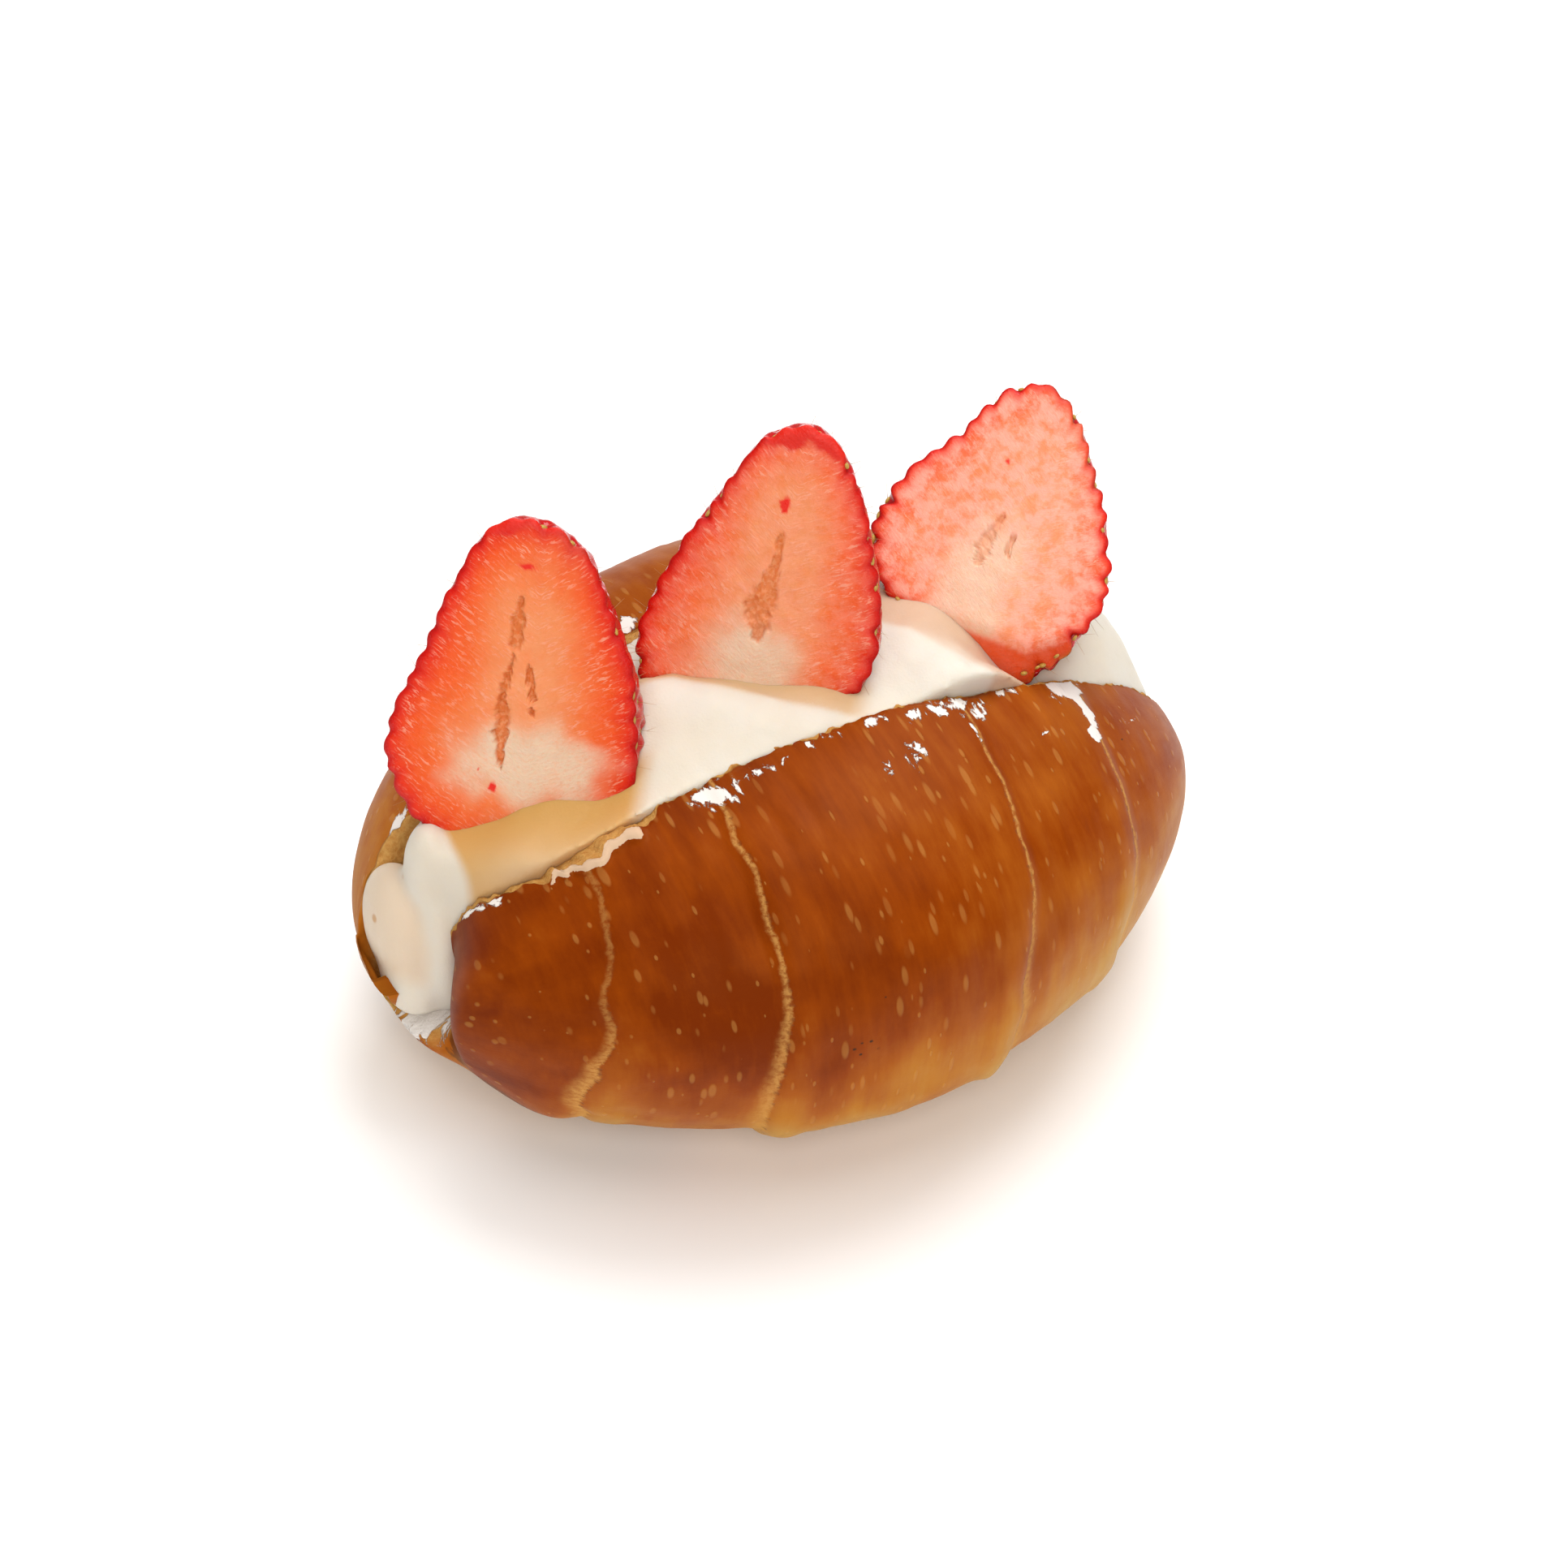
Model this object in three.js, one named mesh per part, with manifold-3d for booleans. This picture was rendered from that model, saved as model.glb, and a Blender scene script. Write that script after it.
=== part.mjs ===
// Salt bread roll, split along its top, filled with whipped cream and three strawberry halves.
// Millimetres. X runs along the roll, Y from its front to its back, Z up, resting on Z = 0.
import * as THREE from "three";
import { mergeVertices } from "three/addons/utils/BufferGeometryUtils.js";
import Module from "manifold-3d";

const wasm = await Module();
wasm.setup();

// ---- driving dimensions ------------------------------------------------------------------
const CLEARANCE = 0.35; // between pieces that touch

const ROLL = {
  halfLength: 63,
  frontDepth: 42.4, // from the cut to the front of the roll, before it is opened
  backDepth: 37.4,
  waistHeight: 24.4, // height of the widest line
  crown: 33.8, // waist to lip
  belly: 25, // waist to base
  bend: 2.4, // how far both tips curve to the back
  endPower: 1.7, // roundness of the plan outline
  chinPower: 0.6, // the underside stays full towards the tips
  crustPower: 2.25, // squareness of the section above and below the waist
  basePower: 2.6,
  settle: 1.2, // how much of the underside is pressed flat
  trim: 7, // how much shorter the front half is than the hinge at the left tip
};
const CUT = {
  halfOpening: 14.7, // half the width of the opening at lip height
  lipHeight: 57,
  flare: 0.91,
  floorShare: 0.23, // part of the roll's height that is left as a hinge
};
const LAYER = {
  step: 0.9, // how far each rolled layer stands over the next one out
  groove: 0.7, // depth of the crease at its edge
  creaseWidth: 1.6,
};
// Where each layer's edge crosses the lip, the waist and the base, along X.
const LAYER_EDGES = [
  [-36.5, -47.2, -44.0],
  [-18.1, -24.4, -22.0],
  [20.3, 12.1, 19.0],
  [40.1, 34.1, 38.0],
];
const ROLL_MESH = { stations: 45, crustPoints: 17, wallPoints: 5 };

// The cream's crest: distance along X, height.
const CREAM_CREST = [
  [-58.5, 33],
  [-56.5, 43],
  [-52, 47.5],
  [-41, 51.5],
  [-21, 58.8],
  [0, 60.6],
  [22, 60.2],
  [40, 55.5],
  [51, 49],
  [57, 41],
  [59.5, 30],
];
const CREAM = { stations: 33, archPoints: 9, wallPoints: 4, shoulderDrop: 2.2 };
// Lobes that spill from the left end: centre, then half-sizes.
const CREAM_LOBES = [
  [-57.5, 5.5, 23.5, 5.2, 7.5, 9.5],
  [-55, 0.5, 34, 5.0, 8.5, 12],
];

// Each half: where the middle of its base sits, how its cut face is turned (yaw), leans back
// (lean) and rolls sideways (roll), its thickness, and the outline of the cut face, right then up.
const BERRIES = [
  {
    name: "strawberry_half_left",
    base: [-41, -1.8, 52],
    yaw: -33,
    lean: 22,
    roll: 4,
    depth: 14.5,
    heel: null,
    outline: [
      [-1.6, 39.6], [-7.6, 37.2], [-11.6, 29.5], [-15.2, 19.5], [-18.8, 9.2], [-19.0, 2.2],
      [-15.6, -3.8], [-9, -9], [3, -7.5], [12.5, -3.4], [16.4, 4], [16.8, 11.5],
      [13.8, 21], [9.4, 29.5], [5.6, 36.4],
    ],
  },
  {
    name: "strawberry_half_middle",
    base: [-7.5, -3, 59],
    yaw: -33,
    lean: 22,
    roll: 12,
    depth: 14.5,
    heel: null,
    outline: [
      [-0.4, 39.0], [-5.6, 36.2], [-9.0, 29.2], [-12.4, 20.8], [-15.4, 11], [-16.0, 3],
      [-13, -4], [-5, -7], [5, -6.2], [13, -2.4], [16.8, 4.2], [17.6, 11],
      [15.0, 19.6], [11.2, 27], [7.4, 33.8], [4.0, 37.8],
    ],
  },
  {
    name: "strawberry_half_right",
    base: [27, -8.2, 56.8],
    yaw: -38,
    lean: 48,
    roll: 14,
    depth: 14,
    heel: { line: 3.4, tilt: -0.16, slope: 0.9 }, // below this line the cut slopes back
    outline: [
      [-5.6, 39.2], [-10.8, 35.8], [-14.2, 28.2], [-18.4, 21.6], [-21.2, 13.4], [-18.6, 6],
      [-11, 1], [-2.4, -2.6], [5, -2.4], [10.6, 2.4], [13.6, 9.6], [14.0, 15.4],
      [11.2, 21.8], [8.2, 27], [4.4, 32.4], [0.2, 37.2],
    ],
  },
];
const BERRY_MESH = { outlinePoints: 40, rings: 7, faceRings: 3 };

const CRUST = { color: 0xb5651f, roughness: 0.38, metalness: 0 };
const WHIPPED = { color: 0xf6ecdc, roughness: 0.5, metalness: 0 };
const FRUIT = { color: 0xe23a22, roughness: 0.3, metalness: 0 };

// ---- solids ------------------------------------------------------------------------------

/** The triangles of a polygon given as [across, up] pairs. */
function capTriangles(polygon) {
  const contour = polygon.map(([a, b]) => new THREE.Vector2(a, b));
  return THREE.ShapeUtils.triangulateShape(contour, []);
}

/** A closed geometry through equal-length rings of points, with a flat cap on each end. */
function loft(rings, capPlane) {
  const count = rings[0].length;
  const positions = rings.flat(2);
  const index = [];
  for (let r = 0; r + 1 < rings.length; r++)
    for (let i = 0; i < count; i++) {
      const a = r * count + i;
      const b = r * count + ((i + 1) % count);
      index.push(a, b, a + count, b, b + count, a + count);
    }
  const last = (rings.length - 1) * count;
  for (const [a, b, c] of capTriangles(rings[0].map(capPlane))) index.push(c, b, a);
  for (const [a, b, c] of capTriangles(rings.at(-1).map(capPlane)))
    index.push(last + a, last + b, last + c);
  const geometry = new THREE.BufferGeometry();
  geometry.setAttribute("position", new THREE.Float32BufferAttribute(positions, 3));
  geometry.setIndex(index);
  return geometry;
}

/** The geometry as a manifold solid, turned to face outwards. */
function solidOf(geometry) {
  const bare = geometry.clone();
  bare.deleteAttribute("normal");
  bare.deleteAttribute("uv");
  const merged = mergeVertices(bare, 1e-4);
  const triVerts = new Uint32Array(merged.index.array);
  const mesh = { numProp: 3, vertProperties: merged.attributes.position.array, triVerts };
  const solid = new wasm.Manifold(new wasm.Mesh(mesh));
  if (solid.volume() > 0) return solid;
  for (let i = 0; i < triVerts.length; i += 3)
    [triVerts[i + 1], triVerts[i + 2]] = [triVerts[i + 2], triVerts[i + 1]];
  return new wasm.Manifold(new wasm.Mesh(mesh));
}

/** The manifold solid as a geometry. */
function geometryOf(solid) {
  const mesh = solid.getMesh();
  const positions = new Float32Array(mesh.numVert * 3);
  for (let i = 0; i < mesh.numVert; i++) {
    const start = i * mesh.numProp;
    positions.set(mesh.vertProperties.subarray(start, start + 3), i * 3);
  }
  const geometry = new THREE.BufferGeometry();
  geometry.setAttribute("position", new THREE.BufferAttribute(positions, 3));
  geometry.setIndex(new THREE.BufferAttribute(mesh.triVerts, 1));
  geometry.computeVertexNormals();
  return geometry;
}

/** The largest of a solid's separate bodies. */
function mainBody(solid) {
  const bodies = solid.decompose();
  return bodies.reduce((most, body) => (body.volume() > most.volume() ? body : most));
}

/** Linear interpolation through [x, value] pairs. */
function along(pairs, x) {
  const i = Math.max(1, pairs.findIndex(([px]) => px >= x));
  const at = x > pairs.at(-1)[0] ? pairs.length - 1 : i;
  const [x0, v0] = pairs[at - 1];
  const [x1, v1] = pairs[at];
  const t = THREE.MathUtils.clamp((x - x0) / (x1 - x0), 0, 1);
  return v0 + (v1 - v0) * t;
}

// ---- the roll ----------------------------------------------------------------------------

/** How full the roll is at u, from -1 at the left tip to 1 at the right one. */
function fullness(u) {
  return (1 - u * u) ** (1 / ROLL.endPower);
}

/** Half the opening of the cut at a height. */
function halfOpening(z) {
  return CUT.halfOpening * (Math.max(0, z) / CUT.lipHeight) ** CUT.flare;
}

/** A layer edge's place along X at an angle from the lip, 0, to the base, pi. */
function layerEdge([lip, waist, base], angle) {
  const t = (2 * angle) / Math.PI;
  return t < 1 ? lip + (waist - lip) * t : waist + (base - waist) * (t - 1);
}

/** Height of the crust's relief: layers step down from the middle, with a crease at each edge. */
function relief(x, angle) {
  let height = LAYER.step;
  for (const edge of LAYER_EDGES) {
    const d = (x - layerEdge(edge, angle)) * (edge[0] < 0 ? -1 : 1);
    height -= LAYER.step * THREE.MathUtils.smoothstep(d, -0.5, 2.5);
    height -= LAYER.groove * Math.exp(-((d / LAYER.creaseWidth) ** 2));
  }
  return height;
}

/** The crust at u and at an angle from the lip, on the front (side -1) or the back (1). */
function crustPoint(u, angle, side, grow) {
  const full = fullness(u);
  const lift = grow + relief(u * ROLL.halfLength, angle) * full;
  const up = Math.cos(angle);
  const out = Math.abs(Math.sin(angle)) ** (2 / ROLL.crustPower);
  const depth = (side < 0 ? ROLL.frontDepth : ROLL.backDepth) * full + lift;
  const chin = full + (full ** ROLL.chinPower - full) * Math.abs(up) ** 3;
  const rise =
    up > 0
      ? (ROLL.crown * full + lift) * up ** (2 / ROLL.crustPower)
      : -(ROLL.belly * chin + lift) * (-up) ** (2 / ROLL.basePower);
  const z = ROLL.waistHeight + rise;
  const y = side * (depth * out + halfOpening(z)) + ROLL.bend * u * u;
  return [y, Math.max(ROLL.settle - grow, z)];
}

/** How far a front point stands back from the left tip, at a share of the way up from the floor. */
function tipTrim(u, share) {
  const { smoothstep } = THREE.MathUtils;
  return ROLL.trim * smoothstep(-u, 0.6, 1) * smoothstep(share, 0.02, 0.3);
}

/** The roll's section at u: along the crust from the front lip round to the back one, then the cut. */
function rollSection(u, grow) {
  const { crustPoints, wallPoints } = ROLL_MESH;
  const front = [];
  const back = [];
  for (let i = 0; i < crustPoints; i++) {
    const angle = (Math.PI * i) / (crustPoints - 1);
    front.push(crustPoint(u, angle, -1, grow));
    if (i < crustPoints - 1) back.unshift(crustPoint(u, angle, 1, grow));
  }
  const lip = Math.min(front[0][1], back.at(-1)[1]);
  const base = front.at(-1)[1];
  const floor = base + (lip - base) * CUT.floorShare + grow;
  const wall = [];
  const place = ([y, z], side) => {
    const share = (z - floor) / (lip - floor);
    return [u * ROLL.halfLength + (side < 0 ? tipTrim(u, share) : 0), y, z];
  };
  for (const side of [1, -1])
    for (let i = 1; i <= wallPoints; i++) {
      const t = side > 0 ? i / wallPoints : 1 - (i - 1) / wallPoints;
      const z = lip + (floor - lip) * t;
      const half = Math.max(0.5, halfOpening(z) - grow);
      wall.push(place([side * half + ROLL.bend * u * u, z], side));
    }
  return [...front.map((point) => place(point, -1)), ...back.map((point) => place(point, 1)), ...wall];
}

/** The stations along the roll, closer together towards its tips. */
function rollStations() {
  const { stations } = ROLL_MESH;
  const reach = 0.997;
  return Array.from({ length: stations }, (_, i) => {
    const t = (2 * i) / (stations - 1) - 1;
    return reach * Math.sin((t * Math.PI) / 2) * 0.55 + reach * t * 0.45;
  });
}

/** The roll as a solid, grown by a margin where room is cut for it. */
function rollSolid(grow) {
  const rings = rollStations().map((u) => rollSection(u, grow));
  if (grow > 0) {
    rings.unshift(rings[0].map(([x, y, z]) => [x - grow, y, z]));
    rings.push(rings.at(-1).map(([x, y, z]) => [x + grow, y, z]));
  }
  return solidOf(loft(rings, ([, y, z]) => [y, z]));
}

// ---- the strawberry halves ---------------------------------------------------------------

/** Evenly spaced points on the smooth closed curve through an outline. */
function smoothOutline(outline) {
  const points = outline.map(([a, b]) => new THREE.Vector3(a, b, 0));
  const curve = new THREE.CatmullRomCurve3(points, true, "centripetal");
  return curve.getSpacedPoints(BERRY_MESH.outlinePoints).slice(0, -1);
}

/** A half strawberry: a flat cut face in front and a rounded back, in the face's own frame. */
function berryGeometry(berry, grow) {
  const { rings, faceRings } = BERRY_MESH;
  const outline = smoothOutline(berry.outline);
  const centre = new THREE.Vector3(-0.5, 13, 0);
  const reach = 17;
  const ring = (share, behind) =>
    outline.map((point) => {
      const p = point.clone().sub(centre).multiplyScalar(share * (1 + grow / reach)).add(centre);
      return [p.x, p.y, -behind - heelDrop(berry.heel, p) * (1 - behind / (berry.depth + 9))];
    });
  const made = [];
  for (let i = 1; i <= faceRings; i++) made.push(ring(i / faceRings, -grow));
  for (let i = 1; i <= rings; i++) {
    const angle = (Math.PI / 2) * (i / (rings + 0.6));
    made.push(ring(Math.cos(angle) ** 0.9, (berry.depth + grow) * Math.sin(angle)));
  }
  return loft(made, ([x, y]) => [x, y]);
}

/** How far the cut has sloped back at a point below the heel line. */
function heelDrop(heel, point) {
  if (!heel) return 0;
  return Math.max(0, heel.line + heel.tilt * point.x - point.y) * heel.slope;
}

/** Turns and places a half from its face's frame: X right, Y up the face, Z out of it. */
function berryPlacement(berry) {
  const { degToRad } = THREE.MathUtils;
  const normal = new THREE.Vector3(
    Math.sin(degToRad(berry.yaw)) * Math.cos(degToRad(berry.lean)),
    -Math.cos(degToRad(berry.yaw)) * Math.cos(degToRad(berry.lean)),
    Math.sin(degToRad(berry.lean)),
  );
  const right = new THREE.Vector3(Math.cos(degToRad(berry.yaw)), Math.sin(degToRad(berry.yaw)), 0);
  const up = new THREE.Vector3().crossVectors(normal, right);
  const roll = new THREE.Matrix4().makeRotationZ(-degToRad(berry.roll));
  const face = new THREE.Matrix4().makeBasis(right, up, normal).multiply(roll);
  return face.setPosition(...berry.base);
}

/** A strawberry half as a solid in its place, grown by a margin where room is cut for it. */
function berrySolid(berry, grow) {
  return solidOf(berryGeometry(berry, grow).applyMatrix4(berryPlacement(berry)));
}

// ---- the cream ---------------------------------------------------------------------------

/** The cream's section at x: the walls and floor of the cut below, an arch on top. */
function creamSection(x) {
  const u = x / ROLL.halfLength;
  const crest = along(CREAM_CREST, x);
  const lip = crustPoint(u, 0, -1, 0)[1];
  const base = crustPoint(u, Math.PI, -1, 0)[1];
  const floor = base + (lip - base) * CUT.floorShare + CLEARANCE;
  const shoulder = Math.min(lip - 0.6, crest - CREAM.shoulderDrop);
  const middle = ROLL.bend * u * u;
  const half = (z) => Math.max(0.6, halfOpening(z) - CLEARANCE);
  const wall = (side, i) => {
    const z = floor + (shoulder - floor) * (i / CREAM.wallPoints);
    return [x, middle + side * half(z), z];
  };
  const ring = [];
  for (let i = 0; i < CREAM.wallPoints; i++) ring.push(wall(1, i));
  for (let i = 0; i < CREAM.archPoints; i++) {
    const angle = (Math.PI * i) / (CREAM.archPoints - 1);
    const y = middle + half(shoulder) * Math.cos(angle);
    ring.push([x, y, shoulder + (crest - shoulder) * Math.sin(angle) ** 0.8]);
  }
  for (let i = CREAM.wallPoints - 1; i >= 0; i--) ring.push(wall(-1, i));
  return ring;
}

/** A lobe of cream: an ellipsoid. */
function lobeSolid([x, y, z, halfX, halfY, halfZ]) {
  const ball = new THREE.SphereGeometry(1, 20, 14).scale(halfX, halfY, halfZ).translate(x, y, z);
  return solidOf(ball);
}

/** The filling: a loft along the cut with its lobes, less room for the roll and the halves. */
function creamSolid() {
  const start = CREAM_CREST[0][0];
  const end = CREAM_CREST.at(-1)[0];
  const rings = Array.from({ length: CREAM.stations }, (_, i) =>
    creamSection(start + ((end - start) * i) / (CREAM.stations - 1)),
  );
  let solid = solidOf(loft(rings, ([, y, z]) => [y, z]));
  for (const lobe of CREAM_LOBES) solid = solid.add(lobeSolid(lobe));
  solid = solid.subtract(rollSolid(CLEARANCE));
  for (const berry of BERRIES) solid = solid.subtract(berrySolid(berry, CLEARANCE));
  return mainBody(solid);
}

// ---- the assembly ------------------------------------------------------------------------

/** A named mesh of a solid in one finish. */
function piece(name, solid, finish) {
  const mesh = new THREE.Mesh(geometryOf(solid), new THREE.MeshStandardMaterial(finish));
  mesh.name = name;
  return mesh;
}

/** The filled roll, moved so that the middle of its base is the origin. */
function filledRoll() {
  const group = new THREE.Group();
  group.add(piece("bread_roll", rollSolid(0), CRUST));
  group.add(piece("whipped_cream", creamSolid(), WHIPPED));
  for (const berry of BERRIES) group.add(piece(berry.name, berrySolid(berry, 0), FRUIT));
  const box = new THREE.Box3().setFromObject(group);
  const middle = box.getCenter(new THREE.Vector3());
  group.position.set(-middle.x, -middle.y, -box.min.z);
  return group;
}

export default filledRoll();
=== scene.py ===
"""A salt bread roll, split and filled with whipped cream and three strawberry halves.

The roll, the cream and the halves are modelled in millimetres round the middle of the closed
roll's cut, and moved into the frame at the end, where the CAD box of the roll says.
"""

import logging
import math
from dataclasses import dataclass, field
from enum import Enum
from functools import cache
from itertools import product
from typing import Sequence

import bmesh
import bpy
import numpy as np
from mathutils import Matrix, Vector


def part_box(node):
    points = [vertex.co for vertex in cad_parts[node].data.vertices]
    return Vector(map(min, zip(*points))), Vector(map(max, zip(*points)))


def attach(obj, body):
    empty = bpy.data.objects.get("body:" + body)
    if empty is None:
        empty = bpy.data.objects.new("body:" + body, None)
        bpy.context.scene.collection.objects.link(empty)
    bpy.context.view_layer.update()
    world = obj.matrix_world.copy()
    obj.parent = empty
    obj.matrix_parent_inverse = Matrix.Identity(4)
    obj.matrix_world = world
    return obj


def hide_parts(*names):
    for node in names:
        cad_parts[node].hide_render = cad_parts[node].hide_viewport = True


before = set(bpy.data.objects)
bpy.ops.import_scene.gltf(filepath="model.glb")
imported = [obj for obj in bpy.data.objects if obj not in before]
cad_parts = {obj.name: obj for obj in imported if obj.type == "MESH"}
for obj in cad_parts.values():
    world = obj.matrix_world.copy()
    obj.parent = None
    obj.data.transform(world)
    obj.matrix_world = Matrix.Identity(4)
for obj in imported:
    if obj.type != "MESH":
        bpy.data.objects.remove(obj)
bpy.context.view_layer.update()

log = logging.getLogger("filled_roll")
MM = 0.001  # metres in a millimetre
BODY = "root"
Array = np.ndarray
Triple = tuple[float, float, float]  # a place, some sizes or a light's colour
Colour = tuple[float, float, float, float]
Stops = tuple[tuple[float, Triple], ...]
Object = bpy.types.Object
Material = bpy.types.Material
NodeTree = bpy.types.NodeTree
Node = bpy.types.Node
Socket = bpy.types.NodeSocket


# ---- numbers -----------------------------------------------------------------------------


def smoothstep(x: Array, low: float, high: float) -> Array:
    """The smooth ramp from 0 at low to 1 at high."""
    t = np.clip((x - low) / (high - low), 0.0, 1.0)
    return t * t * (3.0 - 2.0 * t)


def hashed(cell: Array, seed: int) -> Array:
    """A random number in 0..1 for each whole-numbered cell.

    Args:
        cell: whole numbers, three to a row.
        seed: which random field.

    Returns:
        One number for each row.
    """
    n = cell[..., 0] * 73856093 ^ cell[..., 1] * 19349663 ^ cell[..., 2] * 83492791 ^ seed * 2654435
    n = (n ^ (n >> 13)) * 1274126177 & 0x7FFFFFFF
    n = (n ^ (n >> 16)) * 668265263 & 0x7FFFFFFF
    return (n & 0xFFFFFF) / float(0x1000000)


def noise(points: Array, size: float, seed: int, octaves: int = 1) -> Array:
    """Smooth noise in about -1..1.

    Args:
        points: places, three numbers to a row.
        size: the size of its largest features, in the points' unit.
        seed: which random field.
        octaves: how many times finer features are added at half the strength.

    Returns:
        One value for each row.
    """
    total = np.zeros(points.shape[:-1])
    weight = 1.0
    for octave in range(octaves):
        p = points * (2.0**octave / size)
        cell = np.floor(p).astype(np.int64)
        f = p - cell
        f = f * f * (3.0 - 2.0 * f)
        for corner in product((0, 1), repeat=3):
            share = np.ones(total.shape)
            for axis, side in enumerate(corner):
                share = share * (f[..., axis] if side else 1.0 - f[..., axis])
            total += weight * share * (hashed(cell + np.array(corner), seed + octave) * 2.0 - 1.0)
        weight *= 0.5
    return total * 1.3


def stacked(*columns: Array) -> Array:
    """Columns of one shape, or numbers, as rows of points."""
    return np.stack(np.broadcast_arrays(*columns), axis=-1).astype(float)


def through(knots: Sequence[tuple[float, float]], x: Array) -> Array:
    """The smooth curve through (place, value) knots, at x.

    Args:
        knots: the places, in order, and their values.
        x: where the curve is wanted.

    Returns:
        Its value at each x.
    """
    places = np.array([k[0] for k in knots], float)
    values = np.array([k[1] for k in knots], float)
    slopes = np.gradient(values, places)
    i = np.clip(np.searchsorted(places, x) - 1, 0, len(places) - 2)
    span = places[i + 1] - places[i]
    t = np.clip((x - places[i]) / span, 0.0, 1.0)
    rise = values[i + 1] - values[i]
    a = slopes[i] * span - rise
    b = rise - slopes[i + 1] * span
    return values[i] + rise * t + t * (1 - t) * (a * (1 - t) + b * t)


# ---- meshes ------------------------------------------------------------------------------


def mesh_object(name: str, points: Array, faces: Sequence[Sequence[int]]) -> Object:
    """A smooth-shaded object from points in metres.

    Args:
        name: the piece's name.
        points: its vertices.
        faces: the vertex numbers of each face.

    Returns:
        The object, linked to the scene.
    """
    mesh = bpy.data.meshes.new(name)
    mesh.from_pydata(points.tolist(), [], [tuple(map(int, f)) for f in faces])
    mesh.validate()
    mesh.shade_smooth()
    made = bpy.data.objects.new(name, mesh)
    bpy.context.scene.collection.objects.link(made)
    return made


def point_attribute(made: Object, name: str, values: Array) -> None:
    """Stores one number for each vertex of an object."""
    layer = made.data.attributes.new(name, "FLOAT", "POINT")
    layer.data.foreach_set("value", np.ascontiguousarray(values, dtype=np.float32).ravel())


def point_uv(made: Object, name: str, uv: Array) -> None:
    """Gives each face corner the UV of its vertex.

    Args:
        made: the object.
        name: the UV map's name.
        uv: one UV for each vertex.
    """
    mesh = made.data
    layer = mesh.uv_layers.new(name=name)
    corner = np.empty(len(mesh.loops), dtype=np.int32)
    mesh.loops.foreach_get("vertex_index", corner)
    layer.data.foreach_set("uv", uv[corner].astype(np.float32).ravel())


def grid_faces(rows: int, columns: int, closed: bool) -> Array:
    """The quads of a grid of vertices stored row by row.

    Args:
        rows: how many rows.
        columns: how many vertices in each.
        closed: whether each row closes on itself.

    Returns:
        Four vertex numbers to a row.
    """
    across = columns if closed else columns - 1
    r, c = np.meshgrid(np.arange(rows - 1), np.arange(across), indexing="ij")
    n = (c + 1) % columns
    quads = [r * columns + c, r * columns + n, (r + 1) * columns + n, (r + 1) * columns + c]
    return np.stack(quads, -1).reshape(-1, 4)


def face_outwards(made: Object) -> None:
    """Makes the normals of a closed mesh point out."""
    bm = bmesh.new()
    bm.from_mesh(made.data)
    bmesh.ops.recalc_face_normals(bm, faces=bm.faces)
    bm.to_mesh(made.data)
    bm.free()


def hand_over(made: Object, node: str) -> None:
    """Hides the CAD node that a finished piece replaces, and sets the piece to ride on the roll's
    body.

    Args:
        made: the piece.
        node: the CAD node that it replaces.
    """
    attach(made, BODY)
    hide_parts(node)
    log.info("%s: %d faces", made.name, len(made.data.polygons))


# ---- node trees --------------------------------------------------------------------------


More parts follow.
